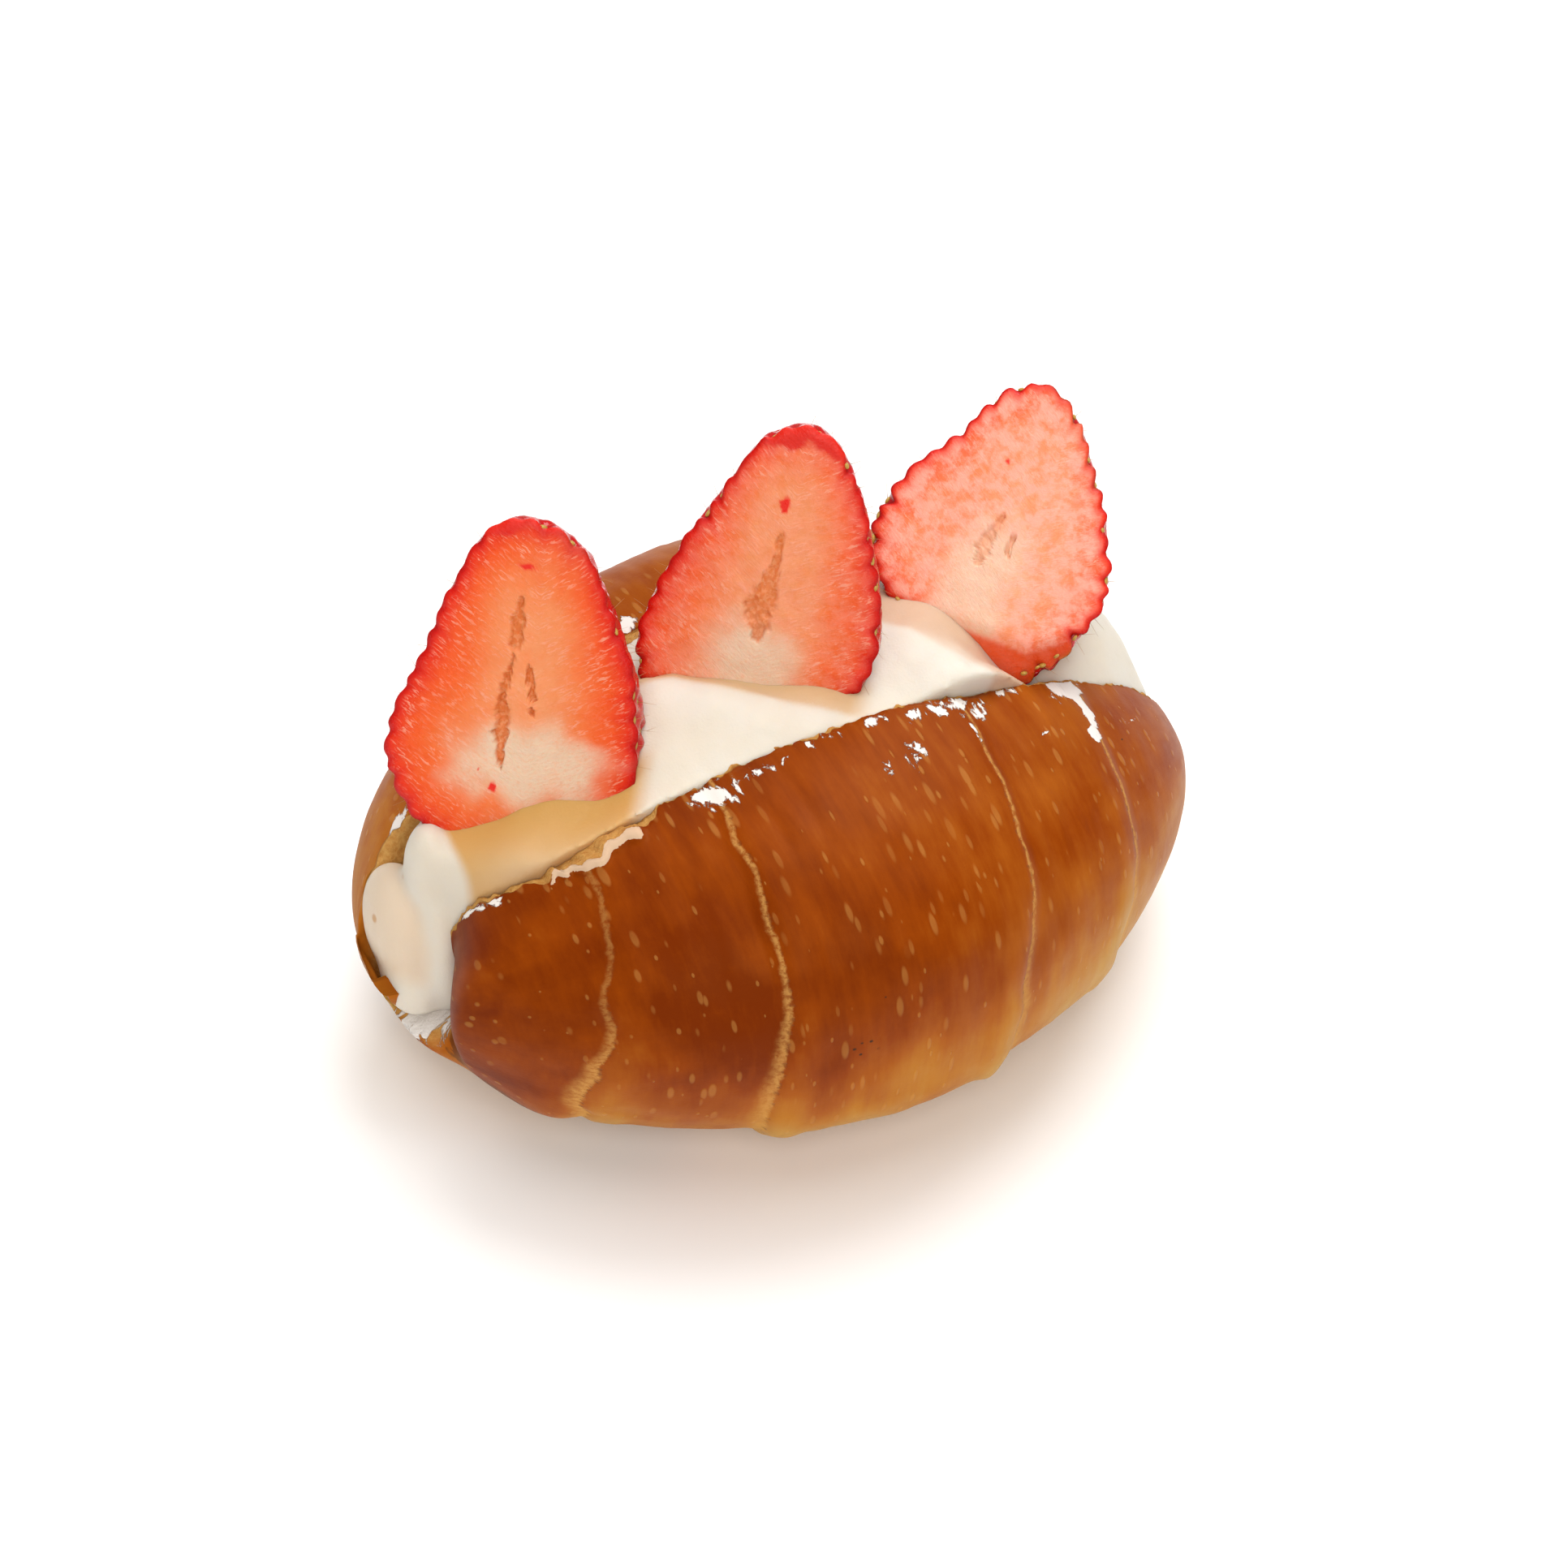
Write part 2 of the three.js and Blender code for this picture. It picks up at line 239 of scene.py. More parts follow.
class Tree:
    """A node tree with short ways to add nodes and link them."""

    def __init__(self, tree: NodeTree) -> None:
        """Takes an empty tree."""
        self.tree = tree

    def add(self, kind: str, _out: int | str = 0, **values: object) -> Socket:
        """Adds a node.

        Args:
            kind: the node's type name.
            _out: which of its outputs is wanted.
            **values: properties of the node, and inputs as i0, i1 and so on or by name, where an
                underscore stands for a space.

        Returns:
            The wanted output.
        """
        node = self.tree.nodes.new(kind)
        inputs = {}
        for key, value in values.items():
            if hasattr(node, key):
                setattr(node, key, value)
            else:
                inputs[key] = value
        for key, value in inputs.items():
            number = key[1:]
            place = int(number) if key[0] == "i" and number.isdigit() else key.replace("_", " ")
            self.put(node.inputs[place], value)
        return node.outputs[_out]

    def put(self, socket: Socket, value: object) -> None:
        """Links an output to a socket, or sets the socket's own value.

        Args:
            socket: the input.
            value: an output, or a value of the socket's type.
        """
        if isinstance(value, Socket):
            self.tree.links.new(value, socket)
        else:
            socket.default_value = value

    def maths(self, operation: str, *values: object, clamp: bool = False) -> Socket:
        """A Math node on one, two or three values."""
        inputs = {f"i{n}": value for n, value in enumerate(values)}
        return self.add("ShaderNodeMath", operation=operation, use_clamp=clamp, **inputs)

    def times(self, first: object, second: object) -> Socket:
        """The product of two values."""
        return self.maths("MULTIPLY", first, second)

    def scaled(self, value: object, scale: object, more: object) -> Socket:
        """A value times a scale, and more added."""
        return self.maths("MULTIPLY_ADD", value, scale, more)

    def ramp(
        self, value: object, low: float, high: float, start: float = 0.0, end: float = 1.0
    ) -> Socket:
        """A smooth ramp of value from start at low to end at high.

        Args:
            value: what is ramped.
            low: where the ramp starts.
            high: where it ends.
            start: its value at low.
            end: its value at high.

        Returns:
            The ramped value.
        """
        return self.add(
            "ShaderNodeMapRange", interpolation_type="SMOOTHSTEP",
            i0=value, i1=low, i2=high, i3=start, i4=end,
        )

    def mix(self, share: object, first: object, second: object) -> Socket:
        """A colour between first, at share 0, and second, at share 1."""
        # a Mix node keeps its colours on its seventh and eighth inputs and its third output
        return self.add("ShaderNodeMix", _out=2, data_type="RGBA", i0=share, i6=first, i7=second)

    def colours(self, value: object, stops: Stops) -> Socket:
        """A colour ramp through stops.

        Args:
            value: a place between the stops, in 0..1.
            stops: places and their colours.

        Returns:
            The colour.
        """
        node = self.tree.nodes.new("ShaderNodeValToRGB")
        ramp = node.color_ramp
        while len(ramp.elements) < len(stops):
            ramp.elements.new(1.0)
        for element, (place, colour) in zip(ramp.elements, stops):
            element.position = place
            element.color = (*colour, 1.0)
        self.put(node.inputs[0], value)
        return node.outputs[0]

    def attribute(self, name: str) -> Socket:
        """The number stored on the mesh under a name."""
        return self.add("ShaderNodeAttribute", _out="Fac", attribute_name=name)

    def noise(
        self, vector: object, scale: float, detail: float = 3.0, rough: float = 0.55
    ) -> Socket:
        """Noise in 0..1 on a vector."""
        return self.add(
            "ShaderNodeTexNoise", _out=0, Vector=vector, Scale=scale, Detail=detail, Roughness=rough
        )

    def stretched(self, vector: object, scale: Triple) -> Socket:
        """A vector stretched along its axes."""
        return self.add("ShaderNodeMapping", i0=vector, i3=scale)

    def bump(self, height: object, distance: float) -> Socket:
        """A bumped normal from a height in 0..1 that stands for a distance in metres."""
        return self.add("ShaderNodeBump", Strength=1.0, Distance=distance, Height=height)

    def group(self, group: NodeTree, **values: object) -> Socket:
        """Places a shader node group, with its inputs by name."""
        return self.add("ShaderNodeGroup", node_tree=group, **values)


class Finish:
    """A material built on one Principled shader."""

    name = "finish"

    def build(self) -> Material:
        """Makes the material.

        Returns:
            The material.
        """
        material = bpy.data.materials.new(self.name)
        material.use_nodes = True
        self.tree = Tree(material.node_tree)
        self.shader = material.node_tree.nodes["Principled BSDF"]
        self.dress(self.tree)
        return material

    def set(self, **values: object) -> None:
        """Sets inputs of the shader by name, where an underscore stands for a space."""
        for key, value in values.items():
            self.tree.put(self.shader.inputs[key.replace("_", " ")], value)

    def dress(self, tree: Tree) -> None:
        """Adds this finish's nodes and sets the shader's inputs."""
        raise NotImplementedError


def new_group(
    name: str, inputs: dict[str, str], outputs: dict[str, str], kind: str = "ShaderNodeTree"
) -> tuple[Tree, Node, Node]:
    """An empty node group.

    Args:
        name: its name.
        inputs: the type of each input by its name.
        outputs: the type of each output by its name.
        kind: the group's own type.

    Returns:
        Its tree, its input node and its output node.
    """
    group = bpy.data.node_groups.new(name, kind)
    for way, sockets in (("INPUT", inputs), ("OUTPUT", outputs)):
        for label, socket in sockets.items():
            group.interface.new_socket(name=label, in_out=way, socket_type=socket)
    return Tree(group), group.nodes.new("NodeGroupInput"), group.nodes.new("NodeGroupOutput")


FLOAT = "NodeSocketFloat"
VECTOR = "NodeSocketVector"
GEOMETRY = "NodeSocketGeometry"
MATERIAL = "NodeSocketMaterial"
INTEGER = "NodeSocketInt"


@cache
def speckle_group() -> NodeTree:
    """Scattered oval specks: a mask from a vector, their density and their size; built once.

    Returns:
        The group.
    """
    tree, given, result = new_group(
        "specks",
        {"Vector": VECTOR, "Scale": FLOAT, "Share": FLOAT, "Size": FLOAT},
        {"Mask": FLOAT},
    )
    cells = tree.tree.nodes.new("ShaderNodeTexVoronoi")
    tree.put(cells.inputs["Vector"], given.outputs["Vector"])
    tree.put(cells.inputs["Scale"], given.outputs["Scale"])
    chosen = tree.add("ShaderNodeSeparateColor", _out=0, i0=cells.outputs["Color"])
    size = tree.add("ShaderNodeSeparateColor", _out=1, i0=cells.outputs["Color"])
    keep = tree.maths("LESS_THAN", chosen, given.outputs["Share"])
    varied = tree.scaled(size, 0.7, 0.45)
    radius = tree.times(given.outputs["Size"], varied)
    off = tree.maths("DIVIDE", cells.outputs["Distance"], radius)
    soft = tree.ramp(tree.maths("SUBTRACT", 1.0, off, clamp=True), 0.0, 0.45)
    tree.put(result.inputs["Mask"], tree.times(keep, soft))
    return tree.tree


@cache
def ragged_group() -> NodeTree:
    """A ragged-edged mask: a soft weight broken up by noise; built once.

    Returns:
        The group.
    """
    tree, given, result = new_group(
        "ragged", {"Vector": VECTOR, "Weight": FLOAT, "Scale": FLOAT}, {"Mask": FLOAT}
    )
    grain = tree.tree.nodes.new("ShaderNodeTexNoise")
    grain.inputs["Detail"].default_value = 5.0
    grain.inputs["Roughness"].default_value = 0.62
    grain.inputs["Distortion"].default_value = 0.6
    tree.put(grain.inputs["Vector"], given.outputs["Vector"])
    tree.put(grain.inputs["Scale"], given.outputs["Scale"])
    weight = tree.times(given.outputs["Weight"], 0.42)
    level = tree.maths("ADD", weight, grain.outputs[0])
    tree.put(result.inputs["Mask"], tree.ramp(level, 0.78, 0.84))
    return tree.tree


# ---- the roll ----------------------------------------------------------------------------


@dataclass(frozen=True)
class LayerEdge:
    """The edge of one rolled layer: where it crosses the lip, the waist and the base, along X."""

    lip: float
    waist: float
    base: float
    pale: float  # how wide its unbrowned band is
    shown: float  # how strongly it shows near the lip

    def distance(self, x: Array, angle: Array) -> Array:
        """How far a place is from the edge, positive on the side of the roll's nearer tip.

        Args:
            x: places along the roll.
            angle: places around the section, in radians from the lip.

        Returns:
            The distances, in millimetres.
        """
        t = angle * 2.0 / np.pi
        upper = self.lip + (self.waist - self.lip) * t
        lower = self.waist + (self.base - self.waist) * (t - 1.0)
        wave = noise(stacked(t * 3.0, self.lip, 0.0), 0.5, 11, 2) * 0.8
        return (x - np.where(t < 1.0, upper, lower) + wave) * math.copysign(1.0, self.lip)


@dataclass(frozen=True)
class RollShape:
    """The form of the opened roll, in millimetres from the middle of its cut."""

    half_length: float = 63.0
    front_depth: float = 42.4
    back_depth: float = 37.4
    waist: float = 24.4  # height of its widest line
    crown: float = 33.8  # how far the lip stands above the waist
    belly: float = 25.0  # how far the base lies below it
    bend: float = 2.4  # how far back the tips curve
    end_power: float = 1.7  # how full the tips are
    chin_power: float = 0.6  # how far out the base stays low
    crust_power: float = 2.25  # how square the section is above the waist
    base_power: float = 2.6  # and below it
    settle: float = 1.2  # how much of the base is pressed flat
    torn_end: tuple[float, float] = (-46.0, -54.4)  # where the front's left end turns in and ends
    hinge: tuple[float, float] = (17.2, 20.0)  # heights where the torn end begins to stand back
    opening: float = 14.7  # half the cut's width at the lip's height
    lip_height: float = 57.0
    flare: float = 0.91  # how the cut narrows downwards
    floor_share: float = 0.23  # how high the cut's floor lies between base and lip
    layer_step: float = 0.9  # how far one layer steps above the next
    crease: float = 0.5  # how deep the crease at its edge is
    arc: float = 38.0  # millimetres of crust to a radian
    foot: float = 4.5  # how much fuller the front half is low down at its left end
    edges: tuple[LayerEdge, ...] = (
        LayerEdge(-36.5, -47.2, -44.0, 1.9, 0.35),
        LayerEdge(-18.1, -24.4, -22.0, 1.5, 0.9),
        LayerEdge(20.3, 12.1, 19.0, 1.5, 0.9),
        LayerEdge(40.1, 34.1, 38.0, 2.2, 0.6),
    )

    def fullness(self, u: Array) -> Array:
        """How full the roll is at u, from -1 at the left tip to 1 at the right one."""
        return np.clip(1.0 - u * u, 0.0, 1.0) ** (1.0 / self.end_power)

    def half_opening(self, z: Array) -> Array:
        """Half the width of the cut at a height."""
        return self.opening * (np.maximum(z, 0.0) / self.lip_height) ** self.flare

    def middle(self, u: Array) -> Array:
        """Where the middle of the cut runs."""
        return self.bend * u * u

    def lip(self, u: Array) -> Array:
        """The lip's height without its relief."""
        return self.waist + self.crown * self.fullness(u)

    def floor(self, u: Array) -> Array:
        """Height of the cut's floor."""
        below = self.belly * self.fullness(u) ** self.chin_power
        base = np.maximum(self.settle, self.waist - below)
        return base + (self.lip(u) - base) * self.floor_share

    def unrolled(self, x: Array, angle: Array, side: Array, drawn: float = 1.0) -> Array:
        """Places on the crust laid flat, the halves apart; drawn out around the roll below 1."""
        return stacked(x, angle * self.arc * drawn, side * 50.0)

    def nearest_edge(self, x: Array, angle: Array) -> Array:
        """Signed distance to the nearest layer edge.

        Args:
            x: places along the roll.
            angle: places around the section, in radians from the lip.

        Returns:
            The distances, in millimetres.
        """
        nearest = np.full(np.broadcast(x, angle).shape, 99.0)
        for edge in self.edges:
            d = edge.distance(x, angle)
            nearest = np.where(np.abs(d) < np.abs(nearest), d, nearest)
        return nearest

    def relief(self, x: Array, angle: Array, side: float) -> Array:
        """Height of the crust's relief: layers, creases and the dough's own unevenness.

        Args:
            x: places along the roll.
            angle: places around the section, in radians from the lip.
            side: -1 for the front half, 1 for the back.

        Returns:
            The heights, in millimetres.
        """
        low = smoothstep(np.degrees(angle), 75.0, 120.0)
        depth = 0.3 + 0.7 * smoothstep(np.degrees(angle), 30.0, 100.0) + 0.9 * low
        height = self.layer_step * (1.0 + 0.9 * low) + np.zeros(np.broadcast(x, angle).shape)
        for edge in self.edges:
            d = edge.distance(x, angle)
            height -= self.layer_step * (1.0 + 0.6 * low) * smoothstep(d, -0.6, 1.6)
            height -= self.crease * depth * np.exp(-((d / 0.75) ** 2))
            height += 0.35 * depth * np.exp(-(((d + 3.0) / 2.0) ** 2))
        if side < 0:
            swell = low * (1.0 - smoothstep(np.degrees(angle), 142.0, 172.0))
            height += self.foot * swell * np.exp(-(((x + 50.0) / 5.0) ** 2))
        place = self.unrolled(x, angle, side)
        height += 0.45 * noise(place, 17.0, 21) + 0.14 * noise(place, 5.5, 22)
        return height + 0.09 * noise(self.unrolled(x, angle, side, 0.22), 2.4, 23, 2)

    def crust(self, u: Array, angle: Array, side: float) -> Array:
        """The crust at u and an angle from the lip, 0, to the base, pi.

        Args:
            u: place along the roll, -1 to 1.
            angle: place around the section, in radians.
            side: -1 for the front half, 1 for the back.

        Returns:
            Its points.
        """
        full = self.fullness(u)
        lift = self.relief(u * self.half_length, angle, side) * full**0.8
        up, across = np.cos(angle), np.abs(np.sin(angle))
        depth = (self.front_depth if side < 0 else self.back_depth) * full + lift
        chin = full + (full**self.chin_power - full) * np.abs(up) ** 3
        above = (self.crown * full + lift) * np.abs(up) ** (2.0 / self.crust_power)
        below = (self.belly * chin + lift) * np.abs(up) ** (2.0 / self.base_power)
        z = self.waist + np.where(up > 0.0, above, -below)
        opened = np.where(up > 0.0, 1.0, smoothstep(across, 0.0, 0.5))
        y = side * (depth * across ** (2.0 / self.crust_power) + opened * self.half_opening(z))
        pressed = 0.5 * (z + self.settle + np.sqrt((z - self.settle) ** 2 + 0.25))
        return stacked(u * self.half_length, y + self.middle(u), pressed)

    def set_back(self, x: Array, y: Array, z: Array) -> Array:
        """How far the front half's left end stands back by the cut, above its hinge.

        Args:
            x: places along the roll.
            y: places across it.
            z: heights.

        Returns:
            How far each point moves along X.
        """
        start, end = self.torn_end
        t = np.clip((start - x) / (self.half_length + start), 0.0, 1.0)
        power = (self.half_length + start) / (start - end)
        kept = start - (start - end) * (1.0 - (1.0 - t) ** power)
        foot = smoothstep(-x, 50.0, 55.0) * (1.0 - smoothstep(z, 20.0, 33.0))
        moved = np.where(x < start, kept - x, 0.0) + 2.2 * foot
        return moved * self.above_hinge(y, z) * smoothstep(y, -18.0, -8.0)

    def above_hinge(self, y: Array, z: Array) -> Array:
        """0 below the torn end's hinge, 1 above it; softer away from the cut."""
        low, high = self.hinge
        away = smoothstep(-y, 5.0, 12.0)
        return smoothstep((z - low + 7.0 * away) / (high - low + 12.0 * away), 0.0, 1.0)

    def ledge(self, x: Array, y: Array, z: Array) -> Array:
        """Where the torn end's ledge bares the crumb."""
        share = self.above_hinge(y, z)
        there = smoothstep(-x, 53.0, 55.0) * smoothstep(y, -9.0, -6.0)
        return there * smoothstep(4.0 * share * (1.0 - share), 0.05, 0.5)

    @staticmethod
    def spill(x: Array, y: Array, z: Array) -> Array:
        """Where cream is smeared over the foot of the torn end."""
        near = np.exp(-(((z - 18.0) / 2.4) ** 2) - ((y + 4.0) / 4.5) ** 2)
        return 1.2 * near * smoothstep(-x, 53.0, 56.0)


@dataclass(frozen=True)
class Dab:
    """A dab of cream or a charred place on the crust: its middle, its half sizes and its strength."""

    x: float
    around: float  # millimetres of crust from the lip
    wide: float
    tall: float
    strength: float = 1.0
    side: float = -1.0

    def weight(self, x: Array, around: Array) -> Array:
        """How strongly it shows at places on the crust."""
        d = ((x - self.x) / self.wide) ** 2 + ((around - self.around) / self.tall) ** 2
        return self.strength * np.exp(-d)


@dataclass
class BreadRoll:
    """The baked roll: crust, ragged lips, and the crumb of the cut."""

    shape: RollShape
    stations: int = 350
    front_points: int = 132
    back_points: int = 84
    lip_points: int = 6
    wall_points: int = 12
    floor_points: int = 6
    reach: float = 0.9992  # how near to the tips the outermost stations stand
    gathered: float = 0.38  # how much closer together the stations stand there
    tip_rings: int = 5
    tip_length: float = 1.3
    torn: tuple[float, float] = (-44.5, -26.0)  # where the front lip's crust is torn away
    brown_to: float = 62.0  # degrees round the section where the brown starts to fade
    golden_after: float = 72.0  # degrees over which it fades to gold
    crusted_tips: tuple[float, float] = (60.5, 62.3)  # where crust closes over the cut's ends
    dabs: tuple[Dab, ...] = (
        Dab(-19.5, 2.6, 4.5, 2.4, 1.0),
        Dab(-12.5, 1.6, 7.0, 1.3, 0.75),
        Dab(-3.0, 0.9, 5.0, 1.0, 0.8),
        Dab(6.5, 1.0, 4.0, 0.9, 0.75),
        Dab(28.0, 1.1, 6.0, 1.0, 0.8),
        Dab(8.3, 6.8, 2.2, 2.4, 0.9),
        Dab(3.6, 8.0, 1.2, 1.6, 0.85),
        Dab(17.0, 1.8, 9.0, 1.7, 0.9),
        Dab(20.5, 3.6, 3.0, 2.0, 0.8),
        Dab(18.6, 7.5, 0.55, 3.6, 0.9),
        Dab(38.2, 2.2, 3.6, 2.6, 1.5),
        Dab(39.2, 7.0, 1.1, 5.0, 1.5),
        Dab(38.0, 12.6, 1.3, 2.2, 1.5),
        Dab(30.5, 9.6, 3.0, 0.4, 1.0),
        Dab(47.5, 11.0, 2.6, 0.4, 1.0),
        Dab(-50.0, 1.6, 3.0, 1.3, 1.1),
        Dab(-54.0, 1.2, 1.6, 1.6, 1.0),
        Dab(-16.0, 2.6, 4.0, 2.4, 1.0, 1.0),
        Dab(-54.0, 2.0, 3.2, 2.6, 1.2, 1.0),
        Dab(20.0, 2.0, 9.0, 1.8, 0.9, 1.0),
    )
    chars: tuple[Dab, ...] = (
        Dab(-13.5, 50.0, 3.2, 4.0, 1.0),
        Dab(44.0, 36.0, 0.8, 0.8, 1.0),
    )

    def stations_along(self) -> Array:
        """Places along the roll, closer together towards the tips."""
        t = np.linspace(-1.0, 1.0, self.stations)
        return self.reach * ((1.0 - self.gathered) * t + self.gathered * np.sin(t * np.pi / 2.0))

    def torn_share(self, x: Array) -> Array:
        """Where the front lip's crust is torn away."""
        low, high = self.torn
        return smoothstep(x, low - 1.0, low + 2.0) * (1.0 - smoothstep(x, high - 3.0, high + 1.0))

    def lip_width(self, u: Array, side: float) -> Array:
        """How wide the bare crumb is between crust and cut.

        Args:
            u: places along the roll, -1 to 1.
            side: -1 for the front half, 1 for the back.

        Returns:
            The widths.
        """
        x = u * self.shape.half_length
        place = stacked(x, side * 9.0, 0.0)
        width = 0.75 + 0.35 * noise(place, 3.1, 31, 2) + 0.25 * noise(place, 0.9, 32, 2)
        if side < 0:
            width += 2.7 * self.torn_share(x) * (1.0 + 0.3 * noise(place, 2.0, 33, 2))
        return np.clip(width, 0.3, 6.0) * np.clip(self.shape.fullness(u) * 3.0, 0.05, 1.0)

    def crust_rows(self, side: float, count: int) -> tuple[Array, Array]:
        """The crust of one half, from its lip to the base.

        Args:
            side: -1 for the front half, 1 for the back.
            count: how many points around.

        Returns:
            Points and angles, one row for each station.
        """
        u = self.stations_along()[:, None]
        depth = self.shape.front_depth if side < 0 else self.shape.back_depth
        share = self.lip_width(u, side) / (depth * self.shape.fullness(u))
        start = np.arcsin(np.clip(share, 0.0, 0.8) ** (self.shape.crust_power / 2.0))
        t = np.linspace(0.0, 1.0, count)[None, :] ** 1.12
        angle = start + (np.pi - start) * t
        points = self.shape.crust(u, angle, side)
        if side < 0:
            curl = self.flap(u * self.shape.half_length, (angle - start) * self.shape.arc)
            points[..., 1] -= 0.25 * curl
            points[..., 2] += 0.75 * curl
        return points, angle

    def flap(self, x: Array, inwards: Array) -> Array:
        """Where the torn crust's edge curls up: 1 at its edge, 0 on the sound crust."""
        low, high = self.torn
        there = smoothstep(x, low + 1.5, low + 3.0) * (1.0 - smoothstep(x, high - 4.5, high - 3.0))
        width = 1.15 + 0.6 * noise(stacked(x, 0.0, 3.0), 1.9, 34, 3)
        return there * (1.0 - smoothstep(inwards, 0.6 * width, 1.1 * width))

    def cut_rows(self, side: float, edge: Array) -> Array:
        """The ragged lip and the wall of one half, from the crust's edge to the cut's floor.

        Args:
            side: -1 for the front half, 1 for the back.
            edge: the crust's edge at each station.

        Returns:
            The points, one row for each station.
        """
        u = self.stations_along()[:, None]
        x = u * self.shape.half_length
        drop = 0.6 + 0.3 * noise(stacked(x, side, 7.0), 2.6, 41, 2)
        if side < 0:
            drop = drop + 1.9 * self.torn_share(x)
        floor = self.shape.floor(u)
        reach = np.maximum(0.05, edge[:, 2:3] - floor)
        top = edge[:, 2:3] - np.minimum(drop, 0.4 * reach)
        wall_y = side * self.shape.half_opening(top) + self.shape.middle(u)
        t = (np.arange(1, self.lip_points + 1) / self.lip_points)[None, :]
        lip_y = edge[:, 1:2] + (wall_y - edge[:, 1:2]) * t
        lip_z = edge[:, 2:3] + (top - edge[:, 2:3]) * t**1.4
        s = (np.arange(1, self.wall_points + 1) / self.wall_points)[None, :]
        wall_z = top + (floor - top) * s
        deep_y = side * self.shape.half_opening(wall_z) + self.shape.middle(u)
        y = np.concatenate([lip_y, deep_y], axis=1)
        z = np.concatenate([lip_z, wall_z], axis=1)
        points = stacked(np.broadcast_to(x, y.shape), y, z)
        rough = noise(points, 1.5, 43, 3) * np.minimum(1.0, reach / 6.0)
        points[..., 1] -= side * 0.22 * rough
        points[..., 2] += 0.30 * rough * (1.0 - smoothstep(np.arange(y.shape[1]), 5.0, 9.0))
        return points

    def floor_rows(self, front: Array, back: Array) -> Array:
        """The floor of the cut, between the feet of its walls."""
        t = (np.arange(1, self.floor_points) / self.floor_points)[None, :, None]
        points = front[:, None, :] + (back - front)[:, None, :] * t
        points[..., 2] += 0.5 * noise(points, 2.0, 44, 2)
        return points

    def round_ends(self, ring: Array) -> Array:
        """The ring of each station, and ever smaller ones that round off both tips.

        Args:
            ring: the points of each station.

        Returns:
            The points with the tips' rings.
        """
        t = np.radians(np.linspace(0.0, 80.0, self.tip_rings + 1))[1:, None, None]
        ends = []
        for last, way in ((ring[0], -1.0), (ring[-1], 1.0)):
            middle = last.mean(axis=0)
            out = np.array([way * self.tip_length, 0.0, 0.0]) * np.sin(t)
            ends.append(middle + (last - middle) * np.cos(t) + out)
        return np.concatenate([ends[0][::-1], ring, ends[1]])

    def padded(self, values: Array) -> Array:
        """Values of each station, the outermost repeated for the rings that round the tips."""
        ends = [np.repeat(end, self.tip_rings, axis=0) for end in (values[:1], values[-1:])]
        return np.concatenate([ends[0], values, ends[1]])

    def build(self, finish: Material) -> Object:
        """Builds the roll's mesh with its attributes.

        Args:
            finish: the crust's material.

        Returns:
            The roll, still in millimetres.
        """
        front, front_angle = self.crust_rows(-1.0, self.front_points)
        back, back_angle = self.crust_rows(1.0, self.back_points)
        back, back_angle = back[:, -2::-1], back_angle[:, -2::-1]
        front_cut = self.cut_rows(-1.0, front[:, 0])
        back_cut = self.cut_rows(1.0, back[:, -1])
        floor = self.floor_rows(back_cut[:, -1], front_cut[:, -1])
        ring = np.concatenate([front, back, back_cut, floor, front_cut[:, ::-1]], axis=1)
        columns = ring.shape[1]
        crust = front.shape[1] + back.shape[1]
        angle = np.zeros(ring.shape[:2])
        angle[:, : front.shape[1]] = front_angle
        angle[:, front.shape[1] : crust] = back_angle
        side = np.where(np.arange(columns) < front.shape[1], -1.0, 1.0)
        side[-front_cut.shape[1] :] = -1.0
        ring, angle = self.round_ends(ring), self.padded(angle)
        rows = ring.shape[0]
        u = self.padded(self.stations_along()[:, None])
        moved = self.shape.set_back(*np.moveaxis(ring, -1, 0))
        ledge = np.where(side < 0, self.shape.ledge(*np.moveaxis(ring, -1, 0)), 0.0)
        spill = self.shape.spill(*np.moveaxis(ring, -1, 0))
        leaned = 2.6 * smoothstep(-ring[..., 0], 45.0, 54.0) * smoothstep(ring[..., 2], 18.0, 34.0)
        ring[..., 0] += np.where(side < 0, moved, 0.0)
        ring[..., 1] += np.where(side < 0, leaned * smoothstep(ring[..., 1], -18.0, -8.0), 0.0)
        faces = grid_faces(rows, columns, closed=True).tolist()
        faces.append(list(range(columns)))
        faces.append([(rows - 1) * columns + i for i in reversed(range(columns))])
        made = mesh_object("bread_roll_crust", ring.reshape(-1, 3), faces)
        face_outwards(made)
        x = np.broadcast_to(u * self.shape.half_length, (rows, columns))
        inwards = self.padded(front_angle - front_angle[:, :1]) * self.shape.arc
        rim = np.zeros((rows, columns))
        rim[:, : front.shape[1]] = self.flap(u * self.shape.half_length, inwards)
        point_attribute(made, "rim", rim)
        self.store(made, x, angle, side, np.arange(columns) >= crust, ledge, spill)
        made.data.materials.append(finish)
        return made

